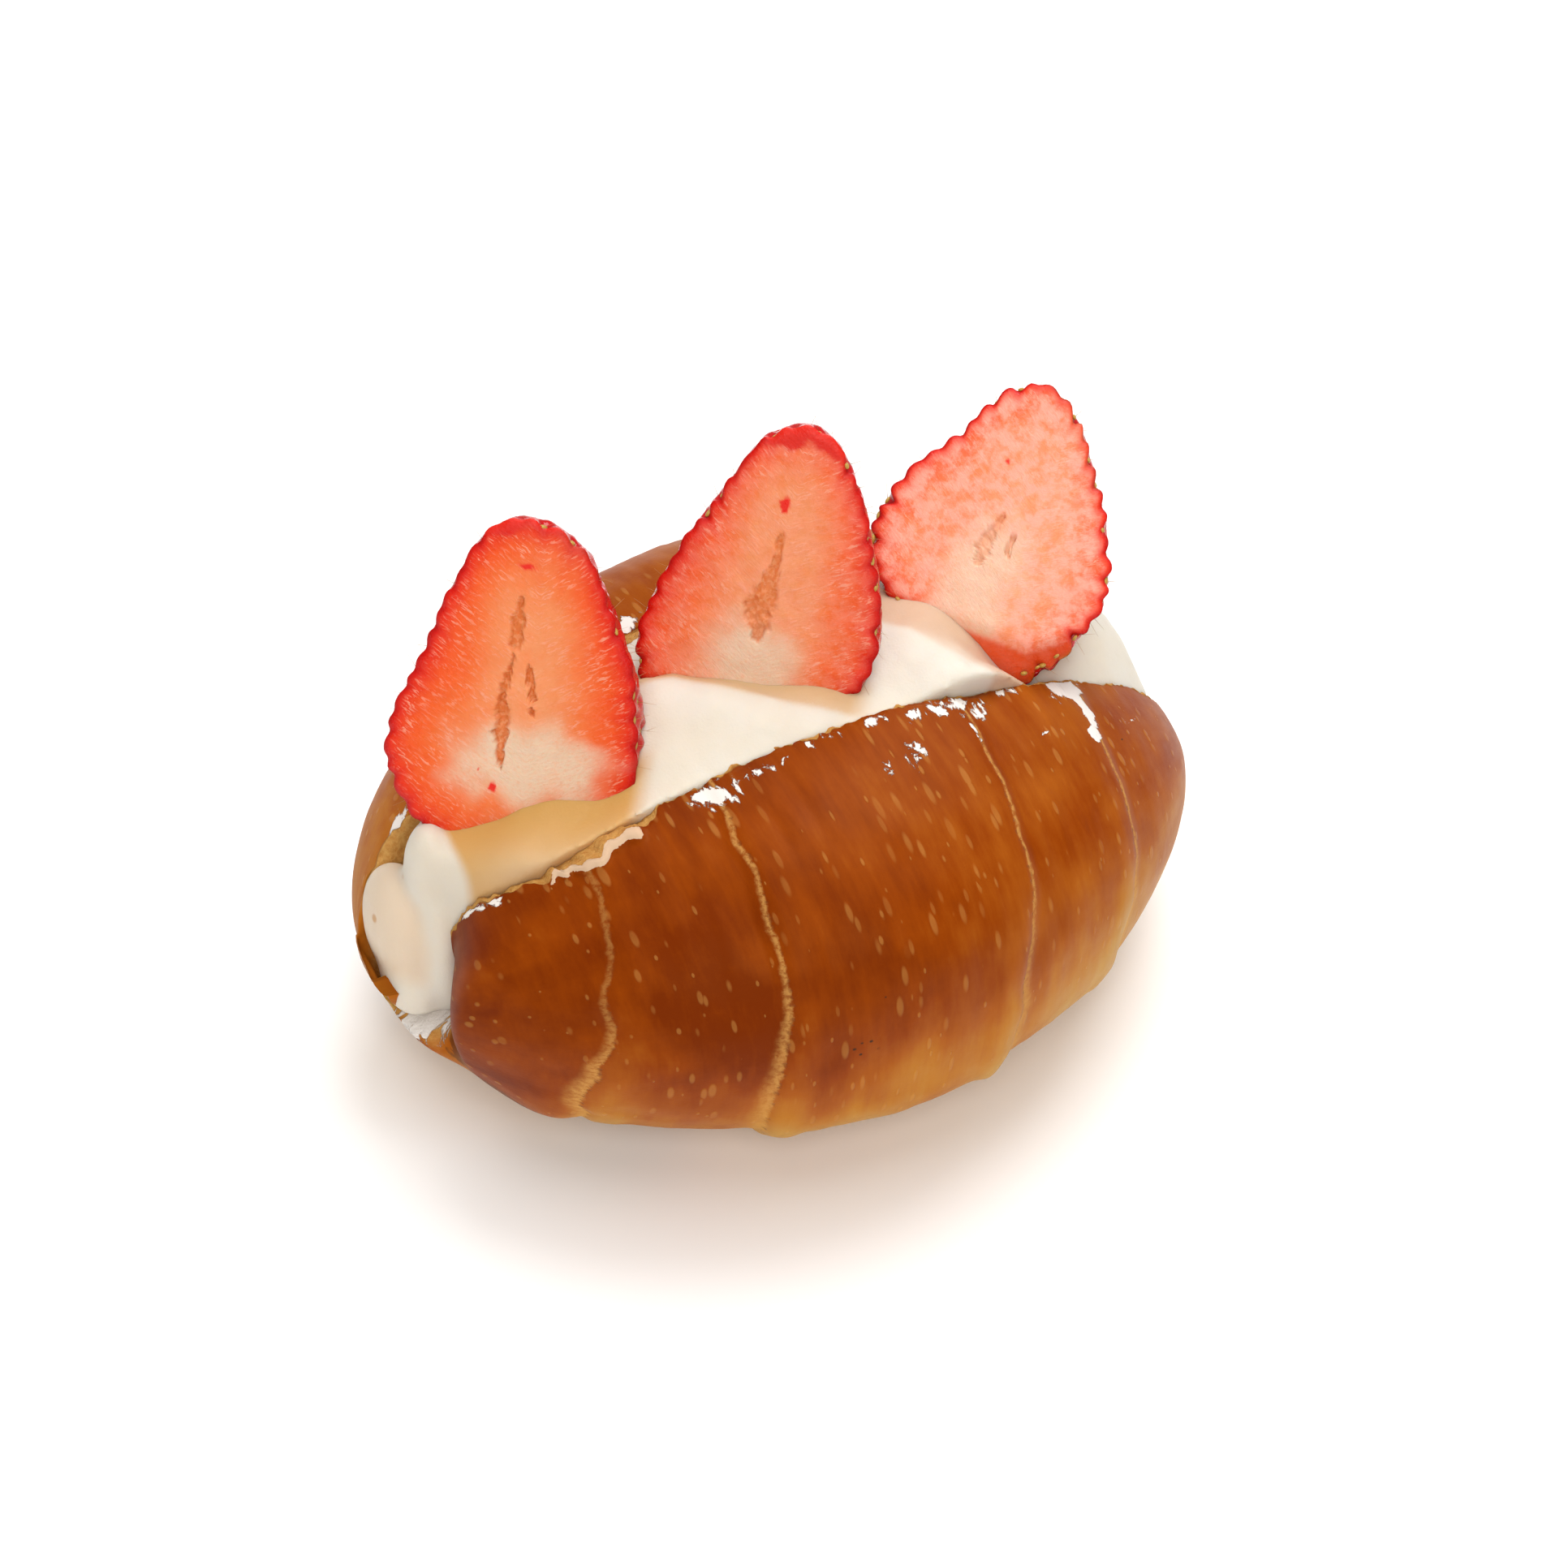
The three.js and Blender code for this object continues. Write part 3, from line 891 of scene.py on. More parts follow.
    def browning(self, x: Array, angle: Array, side: Array) -> Array:
        """How brown each place is baked: 0 where the crust stays golden, 1 where it is darkest.

        Args:
            x: place along the roll.
            angle: place around it.
            side: which half it is on.

        Returns:
            The browning.
        """
        degrees = np.degrees(angle)
        place = self.shape.unrolled(x, angle, side)
        streak = self.shape.unrolled(x, angle, side, 0.25)
        # towards the right end the brown fades sooner and weaker (here and below): partly the crust's
        # own baking, partly painted sheen of the key light
        start = self.brown_to - 0.45 * np.clip(x + 15.0, -20.0, 60.0)
        start = start + 2.6 * np.clip(-42.0 - x, 0.0, 20.0)
        wander = 9.0 * noise(place, 12.0, 51, 2)
        bake = 1.0 - smoothstep(degrees + wander, start, start + self.golden_after)
        bake = bake * (0.90 - 0.20 * smoothstep(x, -24.0, 36.0)) + 0.07 * noise(place, 9.0, 52, 2)
        bake += 0.05 * noise(streak, 2.6, 53, 2)
        seam = self.shape.nearest_edge(x, angle)
        sheltered = np.exp(-(((seam + 2.2) / 2.8) ** 2)) * smoothstep(degrees, 20.0, 90.0)
        belt = np.exp(-(((x + 29.0) / 8.0) ** 2)) * smoothstep(degrees, 15.0, 40.0)
        paler_back = np.where(side > 0, 0.2 + 0.3 * smoothstep(-x, 42.0, 56.0), 0.0)
        return np.clip(bake - 0.22 * sheltered + 0.13 * belt - paler_back, 0.0, 1.0)

    def seams_shown(self, x: Array, angle: Array) -> Array:
        """How plainly the nearest layer edge shows as a pale seam.

        Args:
            x: places along the roll.
            angle: places around the section, in radians from the lip.

        Returns:
            0 where no seam shows, about 1 where one does.
        """
        low = smoothstep(np.degrees(angle), 40.0, 95.0)
        shown = np.zeros(x.shape)
        for edge in self.shape.edges:
            near = np.exp(-((edge.distance(x, angle) / 6.0) ** 2))
            strength = edge.shown + (1.0 - edge.shown) * low
            shown = np.maximum(shown, near * strength * edge.pale / 2.0)
        return shown

    def store(
        self, made: Object, x: Array, angle: Array, side: Array, bare: Array,
        ledge: Array, spill: Array,
    ) -> None:
        """Stores what the crust's finish reads on the roll.

        Args:
            made: the roll.
            x: place along the roll of each vertex.
            angle: place around it.
            side: which half it is on.
            bare: which columns are cut crumb.
            ledge: where the torn end's ledge bares the crumb.
            spill: where cream is smeared over it.
        """
        around, degrees = angle * self.shape.arc, np.degrees(angle)
        cut = np.where(bare, 1.0, 0.0)
        tips = smoothstep(np.abs(x), *self.crusted_tips)
        dark_underside = smoothstep(degrees, 112.0, 128.0) * (1.0 - smoothstep(degrees, 140.0, 160.0))
        values = {
            "bake": self.browning(x, angle, side),
            "seam": np.clip(self.shape.nearest_edge(x, angle), -9.0, 9.0),
            "shown": self.seams_shown(x, angle),
            "low": smoothstep(degrees, 45.0, 95.0),
            "crumb": np.maximum(cut * (1.0 - tips), ledge),
            "dabs": np.maximum(self.total(self.dabs, x, around, side) * (1.0 - cut), spill),
            "chars": self.total(self.chars, x, around, side),
            "dark_underside": dark_underside * smoothstep(-x, 15.0, 40.0),
        }
        for name, value in values.items():
            point_attribute(made, name, value)
        uv = np.stack([x * MM, side * around * MM], axis=-1)
        point_uv(made, "crust", uv.reshape(-1, 2))

    @staticmethod
    def total(dabs: Sequence[Dab], x: Array, around: Array, side: Array) -> Array:
        """The strongest of several dabs at each place."""
        most = np.zeros(x.shape)
        for dab in dabs:
            most = np.maximum(most, dab.weight(x, around) * (side == dab.side))
        return most


@dataclass
class CrustFinish(Finish):
    """Egg-washed crust, browned on top and golden below, with blisters, seams and cream dabs."""

    name: str = "egg_washed_crust"
    browning: Stops = (
        (0.0, (0.50, 0.26, 0.050)),
        (0.28, (0.45, 0.165, 0.016)),
        (0.55, (0.35, 0.085, 0.006)),
        (0.80, (0.245, 0.040, 0.001)),
        (1.0, (0.160, 0.020, 0.0005)),
    )
    blister: Colour = (0.60, 0.29, 0.070, 1.0)
    pale_seam: Colour = (0.66, 0.36, 0.10, 1.0)
    crevice: Colour = (0.17, 0.055, 0.015, 1.0)
    crumb: Colour = (0.66, 0.37, 0.11, 1.0)
    # painted shade in the crumb's pits
    crumb_pit_shade: Colour = (0.52, 0.23, 0.055, 1.0)
    cream: Colour = (0.80, 0.75, 0.70, 1.0)
    flap: Colour = (0.64, 0.46, 0.31, 1.0)
    char: Colour = (0.05, 0.018, 0.008, 1.0)

    def spots(self, tree: Tree, uv: Socket) -> Socket:
        """Blisters of three sizes, drawn out around the roll; the large ones sit at the left.

        Args:
            tree: the material's tree.
            uv: the crust's UV.

        Returns:
            Their mask.
        """
        drawn = tree.stretched(uv, (1.0, 0.40, 1.0))
        thin = tree.stretched(uv, (1.0, 0.26, 1.0))
        fine = tree.group(speckle_group(), Vector=thin, Scale=620.0, Share=0.75, Size=0.34)
        medium = tree.group(speckle_group(), Vector=drawn, Scale=560.0, Share=0.50, Size=0.19)
        large = tree.group(speckle_group(), Vector=drawn, Scale=175.0, Share=0.16, Size=0.13)
        along = tree.add("ShaderNodeSeparateXYZ", i0=uv)
        left = tree.ramp(along, -0.036, -0.030, 1.0, 0.15)
        large = tree.times(large, tree.times(left, 0.8))
        patchy = tree.ramp(tree.noise(uv, 95.0, 2.0), 0.38, 0.6, 0.45, 1.0)
        fine = tree.times(fine, patchy)
        return tree.maths("MAXIMUM", tree.maths("MAXIMUM", fine, medium), large)

    def browned(self, tree: Tree, uv: Socket, mottle: Socket) -> Socket:
        """The baked crust's colour, with fine streaks around the roll.

        Args:
            tree: the material's tree.
            uv: the crust's UV.
            mottle: a cloudy noise.

        Returns:
            The colour.
        """
        streak = tree.noise(tree.stretched(uv, (1.0, 0.16, 1.0)), 800.0, 4.0, 0.62)
        cloudy = tree.scaled(mottle, 0.16, -0.08)
        bake = tree.maths("ADD", tree.attribute("bake"), cloudy)
        bake = tree.maths("ADD", bake, tree.scaled(streak, 0.26, -0.13))
        return tree.colours(bake, self.browning)

    def seams(self, tree: Tree, uv: Socket) -> tuple[Socket, Socket, Socket]:
        """The pale bands along the layers' edges, the cracks in them and their flaky grain.

        Args:
            tree: the material's tree.
            uv: the crust's UV.

        Returns:
            The bands' mask, the cracks' mask and the grain.
        """
        flaky = tree.noise(tree.stretched(uv, (1.0, 0.5, 1.0)), 700.0, 5.0, 0.65)
        wander = tree.scaled(flaky, 1.2, -0.6)
        offset = tree.maths("ADD", tree.attribute("seam"), wander)
        shown, low = tree.attribute("shown"), tree.attribute("low")
        width = tree.scaled(low, 1.6, 0.42)
        outer = tree.ramp(tree.maths("DIVIDE", offset, width), 0.0, 1.3, 1.0, 0.0)
        inner = tree.ramp(offset, -0.5, -0.1)
        band = tree.times(tree.times(outer, inner), shown)
        patch = tree.noise(uv, 1100.0, 4.0, 0.7)
        broken = tree.ramp(patch, 0.34, 0.66, 0.45, 1.0)
        thin = tree.ramp(patch, 0.36, 0.56, 0.25, 1.0)
        band = tree.times(band, tree.add("ShaderNodeMix", i0=low, i2=thin, i3=broken))
        middle = tree.maths("ABSOLUTE", tree.maths("ADD", offset, 0.3))
        crack = tree.ramp(middle, 0.08, 0.36, 1.0, 0.0)
        pitted = tree.ramp(tree.noise(uv, 900.0, 3.0, 0.6), 0.5, 0.62)
        return band, tree.times(tree.times(crack, shown), pitted), flaky

    def charred_and_darkened(self, tree: Tree, uv: Socket, colour: Socket) -> Socket:
        """A colour with charred grains, and a darker ragged patch low on the underside towards the
        left, laid over it.

        Args:
            tree: the material's tree.
            uv: the crust's UV.
            colour: the crust's colour.

        Returns:
            The colour.
        """
        grains = tree.group(speckle_group(), Vector=uv, Scale=900.0, Share=0.5, Size=0.3)
        near = tree.times(grains, tree.ramp(tree.attribute("chars"), 0.25, 0.7))
        stray = tree.group(speckle_group(), Vector=uv, Scale=210.0, Share=0.045, Size=0.055)
        colour = tree.mix(tree.maths("MAXIMUM", near, stray), colour, self.char)
        weight = tree.attribute("dark_underside")
        under = tree.group(ragged_group(), Vector=uv, Weight=weight, Scale=260.0)
        return tree.mix(tree.times(under, 0.6), colour, self.char)

    def dress(self, tree: Tree) -> None:
        """Adds the crust's nodes.

        Args:
            tree: the material's tree.
        """
        uv = tree.add("ShaderNodeUVMap", uv_map="crust")
        mottle = tree.noise(uv, 190.0, 5.0, 0.66)
        spots = self.spots(tree, uv)
        colour = self.browned(tree, uv, mottle)
        colour = tree.mix(tree.times(spots, 0.27), colour, self.blister)
        band, crack, flaky = self.seams(tree, uv)
        colour = tree.mix(tree.times(band, 0.8), colour, self.pale_seam)
        colour = tree.mix(tree.times(crack, 0.7), colour, self.crevice)
        colour = self.charred_and_darkened(tree, uv, colour)

        where = tree.add("ShaderNodeTexCoord", _out="Object")
        pores = tree.noise(where, 1100.0, 6.0, 0.7)
        # the crumb is darker in its pits: painted shade in the pores
        inside = tree.mix(tree.ramp(pores, 0.3, 0.66), self.crumb_pit_shade, self.crumb)
        crumb = tree.attribute("crumb")
        colour = tree.mix(crumb, colour, inside)
        rim = tree.times(tree.attribute("rim"), 1.6)
        flap = tree.group(ragged_group(), Vector=uv, Weight=rim, Scale=500.0)
        colour = tree.mix(tree.times(flap, 0.9), colour, self.flap)
        smeared = tree.stretched(uv, (1.0, 0.7, 1.0))
        weight = tree.attribute("dabs")
        dabs = tree.group(ragged_group(), Vector=smeared, Weight=weight, Scale=560.0)
        colour = tree.mix(dabs, colour, self.cream)

        skin = tree.noise(uv, 1500.0, 4.0, 0.6)
        height = tree.scaled(spots, 0.5, tree.times(skin, 0.22))
        height = tree.maths("SUBTRACT", height, tree.times(crack, 0.7))
        height = tree.scaled(tree.times(band, flaky), 0.55, height)
        height = tree.scaled(dabs, 2.0, height)
        height = tree.scaled(tree.times(crumb, pores), 5.0, height)
        matt = tree.maths("MAXIMUM", crumb, tree.times(band, 0.8))
        sheen = tree.scaled(mottle, 0.16, 0.36)
        self.set(
            Base_Color=colour, Roughness=tree.scaled(matt, 0.42, sheen),
            Specular_IOR_Level=0.11, Specular_Tint=(1.0, 0.60, 0.22, 1.0),
            Normal=tree.bump(height, 0.12 * MM),
        )


# ---- the strawberries --------------------------------------------------------------------


@dataclass(frozen=True)
class Slit:
    """A gap in a berry's heart: its middle line and its widths, in millimetres on the cut face."""

    line: tuple[tuple[float, float], ...]
    widths: tuple[float, ...]
    grainy: float = 0.0

    def mask(self, a: Array, b: Array) -> Array:
        """1 inside the slit, falling to 0 at its ragged rim.

        Args:
            a: places across the cut face.
            b: places up it.

        Returns:
            The mask.
        """
        place = stacked(a, b, 3.0)
        ragged = 0.26 * noise(place, 1.0, 61, 3) + 0.2 * self.grainy * noise(place, 0.9, 62, 2)
        inside = np.zeros(a.shape)
        ends = zip(self.line[:-1], self.line[1:], self.widths[:-1], self.widths[1:])
        for (a0, b0), (a1, b1), w0, w1 in ends:
            length = math.hypot(a1 - a0, b1 - b0)
            t = np.clip(((a - a0) * (a1 - a0) + (b - b0) * (b1 - b0)) / length**2, 0.0, 1.0)
            off = np.hypot(a - a0 - t * (a1 - a0), b - b0 - t * (b1 - b0))
            half = 0.5 * (w0 + (w1 - w0) * t)
            inside = np.maximum(inside, 1.0 - smoothstep((off + ragged) / half, 0.8, 1.25))
        return inside


@dataclass(frozen=True)
class Spot:
    """A red spot on the cut face."""

    a: float
    b: float
    wide: float
    tall: float

    def mask(self, a: Array, b: Array) -> Array:
        """1 inside the spot."""
        ragged = 0.35 * noise(stacked(a, b, 8.0), 0.9, 63, 2)
        off = np.hypot((a - self.a) / self.wide, (b - self.b) / self.tall)
        return 1.0 - smoothstep(off + ragged, 0.75, 1.15)


class PalenessAndSheen(Enum):
    """How pale a half's flesh is made and how much painted whitish sheen lies over it, standing for
    the light above reflected on the cut face.
    """

    RED = 0.0
    PEACH = 0.28
    VEILED = 1.0


@dataclass(frozen=True)
class BerryShape:
    """One strawberry half: where it stands, its outline on the cut face, and its marks."""

    name: str
    base: Triple
    yaw: float
    lean: float
    roll: float
    depth: float
    outline: tuple[tuple[float, float], ...]
    slits: tuple[Slit, ...]
    spots: tuple[Spot, ...]
    white: tuple[float, float, float, float]  # middle (a, b) and half sizes of the white part
    paleness_and_sheen: PalenessAndSheen
    seed: int
    heel: Triple | None = None  # its line, that line's tilt, and its slope
    flank: float = 0.0  # how far the skin swells past the face on its right
    cap: float = 99.0  # above this the skin wraps over the tip
    dimple: float = 1.0  # how deep its achenes sit

    def axes(self) -> tuple[Array, Array, Array]:
        """The face's right, up and outward directions.

        Returns:
            Three directions of length one.
        """
        yaw, lean, roll = (math.radians(v) for v in (self.yaw, self.lean, self.roll))
        flat = math.cos(lean)
        out = np.array([math.sin(yaw) * flat, -math.cos(yaw) * flat, math.sin(lean)])
        right = np.array([math.cos(yaw), math.sin(yaw), 0.0])
        up = np.cross(out, right)
        turned = right * math.cos(roll) - up * math.sin(roll)
        return turned, up * math.cos(roll) + right * math.sin(roll), out

    def place(self, a: Array, b: Array, back: Array) -> Array:
        """Points from face coordinates and depth behind the face."""
        right, up, out = self.axes()
        local = a[..., None] * right + b[..., None] * up - back[..., None] * out
        return local + np.array(self.base)


@dataclass
class StrawberryHalf:
    """A halved strawberry: cut face with its heart, dimpled skin, achenes and their hairs."""

    shape: BerryShape
    around: int = 320
    face_rings: int = 60
    skin_rings: int = 50
    centre: tuple[float, float] = (-0.5, 13.0)
    pitch: float = 3.45  # between the achenes
    set_in: float = 0.35  # how far the skin starts behind the face
    slant: float = 33.0  # degrees that the flesh's fibres rise away from the middle

    def outline(self, theta: Array) -> Array:
        """The distance of the smooth outline from the centre in each direction.

        Args:
            theta: directions round the face.

        Returns:
            The distances.
        """
        points = np.array(self.shape.outline) - np.array(self.centre)
        laps = np.concatenate([points[-3:], points, points[:3]])
        t = np.arange(len(laps), dtype=float) - 3.0
        fine = np.linspace(0.0, len(points), 1600, endpoint=False)
        curve = [through(list(zip(t, laps[:, axis])), fine) for axis in (0, 1)]
        angle = np.unwrap(np.arctan2(curve[1], curve[0]))
        radius = np.hypot(curve[0], curve[1])
        turns = np.concatenate([angle - 2 * np.pi, angle, angle + 2 * np.pi])
        order = np.argsort(turns)
        turned = np.mod(theta - angle[0], 2 * np.pi) + angle[0]
        return np.interp(turned, turns[order], np.tile(radius, 3)[order])

    def skin_point(self, theta: Array, psi: Array) -> tuple[Array, Array, Array]:
        """The smooth skin: face coordinates and depth, theta round the face and psi behind it.

        Args:
            theta: directions round the face.
            psi: angles behind its plane.

        Returns:
            Places across and up the face, and depths.
        """
        share = np.cos(psi) ** 0.9
        right = np.exp(-((np.angle(np.exp(1j * (theta + 0.25))) / 0.62) ** 2))
        inset = self.shape.flank * right * (1.0 - smoothstep(psi, 0.0, 0.5))
        radius = (self.outline(theta) - inset) * share
        a = self.centre[0] + radius * np.cos(theta)
        b = self.centre[1] + radius * np.sin(theta)
        return a, b, self.shape.depth * np.sin(psi)

    def achenes(self) -> Array:
        """Where the achenes sit: theta and psi of each, in staggered rows behind the rim.

        Returns:
            Two angles to a row.
        """
        rng = np.random.default_rng(self.shape.seed)
        rows = []
        psi, row = 0.045, 0
        while psi < 1.35:
            theta = np.linspace(0.0, 2 * np.pi, 721)
            a, b, _ = self.skin_point(theta, np.full(721, psi))
            run = np.concatenate([[0.0], np.cumsum(np.hypot(np.diff(a), np.diff(b)))])
            count = max(4, round(run[-1] / self.pitch))
            s = (np.arange(count) + 0.5 * (row % 2) + rng.uniform(-0.16, 0.16, count)) / count
            found = np.interp(np.mod(s, 1.0) * run[-1], run, theta)
            rows.append(np.stack([found, psi + rng.uniform(-0.02, 0.035, count)], -1))
            psi += self.pitch * 0.86 / (self.shape.depth + 5.0 * math.cos(psi))
            row += 1
        return np.concatenate(rows)

    def dented(self, theta: Array, psi: Array, pits: Array) -> Array:
        """How far the skin lies out from its smooth form: low at each achene, plump between.

        Args:
            theta: directions round the face.
            psi: angles behind its plane.
            pits: where the achenes sit.

        Returns:
            The distances.
        """
        a, b, back = self.skin_point(theta, psi)
        pa, pb, pback = self.skin_point(pits[:, 0], pits[:, 1])
        out = np.full(a.shape, 0.25)
        rng = np.random.default_rng(self.shape.seed + 7)
        depths = self.shape.dimple * rng.uniform(0.55, 1.45, len(pits))
        for x, y, z, depth in zip(pa, pb, pback, depths):
            d = (a - x) ** 2 + (b - y) ** 2 + (back - z) ** 2
            out -= depth * np.exp(-d)
        return out + 0.2 * noise(stacked(a, b, back + self.shape.seed), 5.0, 71, 2)

    def heel_drop(self, a: Array, b: Array) -> Array:
        """How far the face slopes back below the heel's line.

        Args:
            a: places across the cut face.
            b: places up it.

        Returns:
            The distances.
        """
        if self.shape.heel is None:
            return np.zeros(a.shape)
        line, tilt, slope = self.shape.heel
        below = line + tilt * np.maximum(a - 6.5, 0.0) - b
        return slope * 0.5 * (below + np.sqrt(below**2 + 0.6))

    def face(self, theta: Array, rim: Array) -> tuple[Array, Array, Array, dict[str, Array]]:
        """The cut face: its points and what its finish reads.

        Args:
            theta: direction of each column.
            rim: radius of the dimpled outline in each direction.

        Returns:
            a, b and depth of each ring from the centre out, and named values.
        """
        t = np.linspace(0.0, 1.0, self.face_rings)[1:, None] ** 0.86
        a = self.centre[0] + rim * t * np.cos(theta)
        b = self.centre[1] + rim * t * np.sin(theta)
        edge = rim * (1.0 - t)
        slit = np.zeros(a.shape)
        grain = np.zeros(a.shape)
        for one in self.shape.slits:
            mask = one.mask(a, b)
            slit = np.maximum(slit, mask)
            grain = np.maximum(grain, mask * one.grainy)
        spot = np.zeros(a.shape)
        for one in self.shape.spots:
            spot = np.maximum(spot, one.mask(a, b))
        place = stacked(a, b, self.shape.seed)
        back = 0.35 * (1.0 - smoothstep(edge, 0.0, 0.9)) + 0.85 * slit * (1.0 - 0.5 * grain)
        back += 0.3 * slit * noise(place, 0.9, 72, 2) - 0.10 * noise(place, 3.0, 73, 2)
        back += self.heel_drop(a, b)
        middle_a, middle_b, half_a, half_b = self.shape.white
        off = np.hypot((a - middle_a) / half_a, (b - middle_b) / half_b)
        heart = np.hypot(a / 7.0, (b - 14.0) / 20.0)
        wrapped = b + 0.9 * noise(place, 2.2, 76, 2)
        return a, b, back, {
            "edge": np.broadcast_to(edge, a.shape), "slit": slit, "spot": spot,
            "white": 1.0 - smoothstep(off + 0.22 * noise(place, 4.0, 74, 2), 0.45, 1.35),
            "heart": 1.0 - smoothstep(heart + 0.12 * noise(place, 5.0, 75, 2), 0.25, 1.5),
            "heel": smoothstep(self.heel_drop(a, b), 0.7, 1.6),
            "cap": smoothstep(wrapped, self.shape.cap, self.shape.cap + 0.8),
        }

    def build(self, finish: Material) -> tuple[Object, Object]:
        """Builds the half.

        Args:
            finish: its material.

        Returns:
            The half and the points its achenes grow on, both in millimetres.
        """
        pits = self.achenes()
        theta = np.linspace(0.0, 2 * np.pi, self.around, endpoint=False)[None, :]
        psi = np.linspace(0.0, 1.0, self.skin_rings + 1)[1:-1, None] * (np.pi / 2) * 0.985
        rim_a, rim_b, _ = self.skin_point(theta, np.zeros(theta.shape))
        rim = np.hypot(rim_a - self.centre[0], rim_b - self.centre[1])
        rim = rim + self.dented(theta, np.zeros(theta.shape), pits)
        a, b, back, values = self.face(theta, rim)
        whole_theta, whole_psi = np.broadcast_arrays(theta, psi)
        sa, sb, sback = self.skin_point(whole_theta, whole_psi)
        out = self.dented(whole_theta, whole_psi, pits)
        sa = sa + out * np.cos(whole_theta) * np.cos(whole_psi)
        sb = sb + out * np.sin(whole_theta) * np.cos(whole_psi)
        sback = sback + out * np.sin(whole_psi) + self.set_in
        sback = np.maximum(sback, self.heel_drop(sa, sb) + 0.3)
        ca, cb = self.centre
        rings_a = np.concatenate([a, sa])
        rings_b = np.concatenate([b, sb])
        rings_back = np.concatenate([back, sback])
        points = self.shape.place(rings_a, rings_b, rings_back).reshape(-1, 3)
        first = self.shape.place(np.array([ca]), np.array([cb]), back[:1].mean(1))
        last = self.shape.place(np.array([ca]), np.array([cb]), np.array([self.shape.depth + 0.6]))
        points = np.concatenate([points, first, last])
        rows, columns = rings_a.shape
        faces = grid_faces(rows, columns, closed=True).tolist()
        for i in range(columns):
            j = (i + 1) % columns
            faces.append([rows * columns, j, i])
            faces.append([rows * columns + 1, (rows - 1) * columns + i, (rows - 1) * columns + j])
        made = mesh_object(self.shape.name, points, faces)
        face_outwards(made)
        skin = np.concatenate([np.zeros(a.shape), np.ones(sa.shape)])
        for name, face_values in values.items():
            grown = np.concatenate([face_values, np.zeros(sa.shape)])
            ends = [grown[0].mean(), 0.0]
            point_attribute(made, name, np.concatenate([grown.ravel(), ends]))
        point_attribute(made, "skin", np.concatenate([skin.ravel(), [0.0, 1.0]]))
        side = np.concatenate([rings_a.ravel(), [ca, ca]])
        rise = np.concatenate([rings_b.ravel(), [cb, cb]])
        point_uv(made, "face", np.stack([side, rise], -1) * MM)
        slant = math.radians(self.slant)
        along = np.abs(side - 0.3) * math.cos(slant) + rise * math.sin(slant)
        across = rise * math.cos(slant) - np.abs(side - 0.3) * math.sin(slant)
        point_uv(made, "fibre", np.stack([along, across], -1) * MM)
        made.data.materials.append(finish)
        return made, self.seats(pits)

    def on_skin(self, theta: Array, psi: Array) -> Array:
        """Points on the smooth skin."""
        a, b, back = self.skin_point(theta, psi)
        return self.shape.place(a, b, back + self.set_in)

    def seats(self, pits: Array) -> Object:
        """Points at the achenes, each with its outward direction and the way to the tip.

        Args:
            pits: where the achenes sit.

        Returns:
            The points, as an object.
        """
        kept = pits[pits[:, 1] < 1.3]
        h = 0.02  # radians between the places that give the skin's slope
        theta, psi = kept[:, 0], np.maximum(kept[:, 1], h)
        here = self.on_skin(theta, psi)
        round_face = self.on_skin(theta + h, psi) - self.on_skin(theta - h, psi)
        behind = self.on_skin(theta, psi + h) - self.on_skin(theta, psi - h)
        out = np.cross(round_face, behind)
        out /= np.linalg.norm(out, axis=1, keepdims=True)
        middle = self.shape.place(np.array([0.0]), np.array([13.0]), np.array([5.0]))
        out *= np.sign(np.sum(out * (here - middle), axis=1, keepdims=True))
        made = mesh_object(self.shape.name + "_seats", here - out * 0.62, [])
        tip = np.tile(self.shape.axes()[1], (len(here), 1))
        for label, vectors in (("out", out), ("tip", tip)):
            layer = made.data.attributes.new(label, "FLOAT_VECTOR", "POINT")
            layer.data.foreach_set("vector", vectors.astype(np.float32).ravel())
        return made


# ---- the cream ---------------------------------------------------------------------------


@dataclass(frozen=True)
class Ridge:
    """A ridge in the cream: its crest, and how steeply it falls on its left and its right."""

    crest: tuple[Triple, ...]
    left: float
    right: float
    straight: float = 1.5  # a fall past this many millimetres runs on as a straight slope

    def height(self, x: Array, y: Array) -> Array:
        """Height of the ridge's surface over places on the ground.

        Args:
            x: places along the roll.
            y: places across it.

        Returns:
            The heights.
        """
        top = np.full(x.shape, -99.0)
        for p, q in zip(np.array(self.crest[:-1]), np.array(self.crest[1:])):
            run = (q - p)[:2]
            length = np.hypot(*run)
            along = ((x - p[0]) * run[0] + (y - p[1]) * run[1]) / length**2
            t = np.clip(along, 0.0, 1.0)
            dx, dy = x - p[0] - t * run[0], y - p[1] - t * run[1]
            left = (run[0] * dy - run[1] * dx) > 0.0
            slope = np.where(left, self.left, self.right)
            if p[0] == self.crest[0][0]:
                slope = slope + (self.left - slope) * smoothstep(-along * length, 0.0, 2.5)
            fall = slope * (dx**2 + dy**2)
            slope_on = 2.0 * np.sqrt(self.straight * fall) - self.straight
            fall = np.where(fall > self.straight, slope_on, fall)
            top = np.maximum(top, p[2] + t * (q[2] - p[2]) - fall)
        return top

    def behind(self, x: Array, y: Array) -> Array:
        """1 on the left of the crest, falling to 0 across it.

        Args:
            x: places along the roll.
            y: places across it.

        Returns:
            The share at each place.
        """
        best, side = np.full(x.shape, 1e9), np.zeros(x.shape)
        for p, q in zip(np.array(self.crest[:-1]), np.array(self.crest[1:])):
            length = np.hypot(*(q - p)[:2])
            run = (q - p)[:2] / length
            t = np.clip((x - p[0]) * run[0] + (y - p[1]) * run[1], 0.0, length)
            off = np.hypot(x - p[0] - t * run[0], y - p[1] - t * run[1])
            left = run[0] * (y - p[1]) - run[1] * (x - p[0])
            side = np.where(off < best, left, side)
            best = np.minimum(best, off)
        return smoothstep(side, -0.5, 0.9)


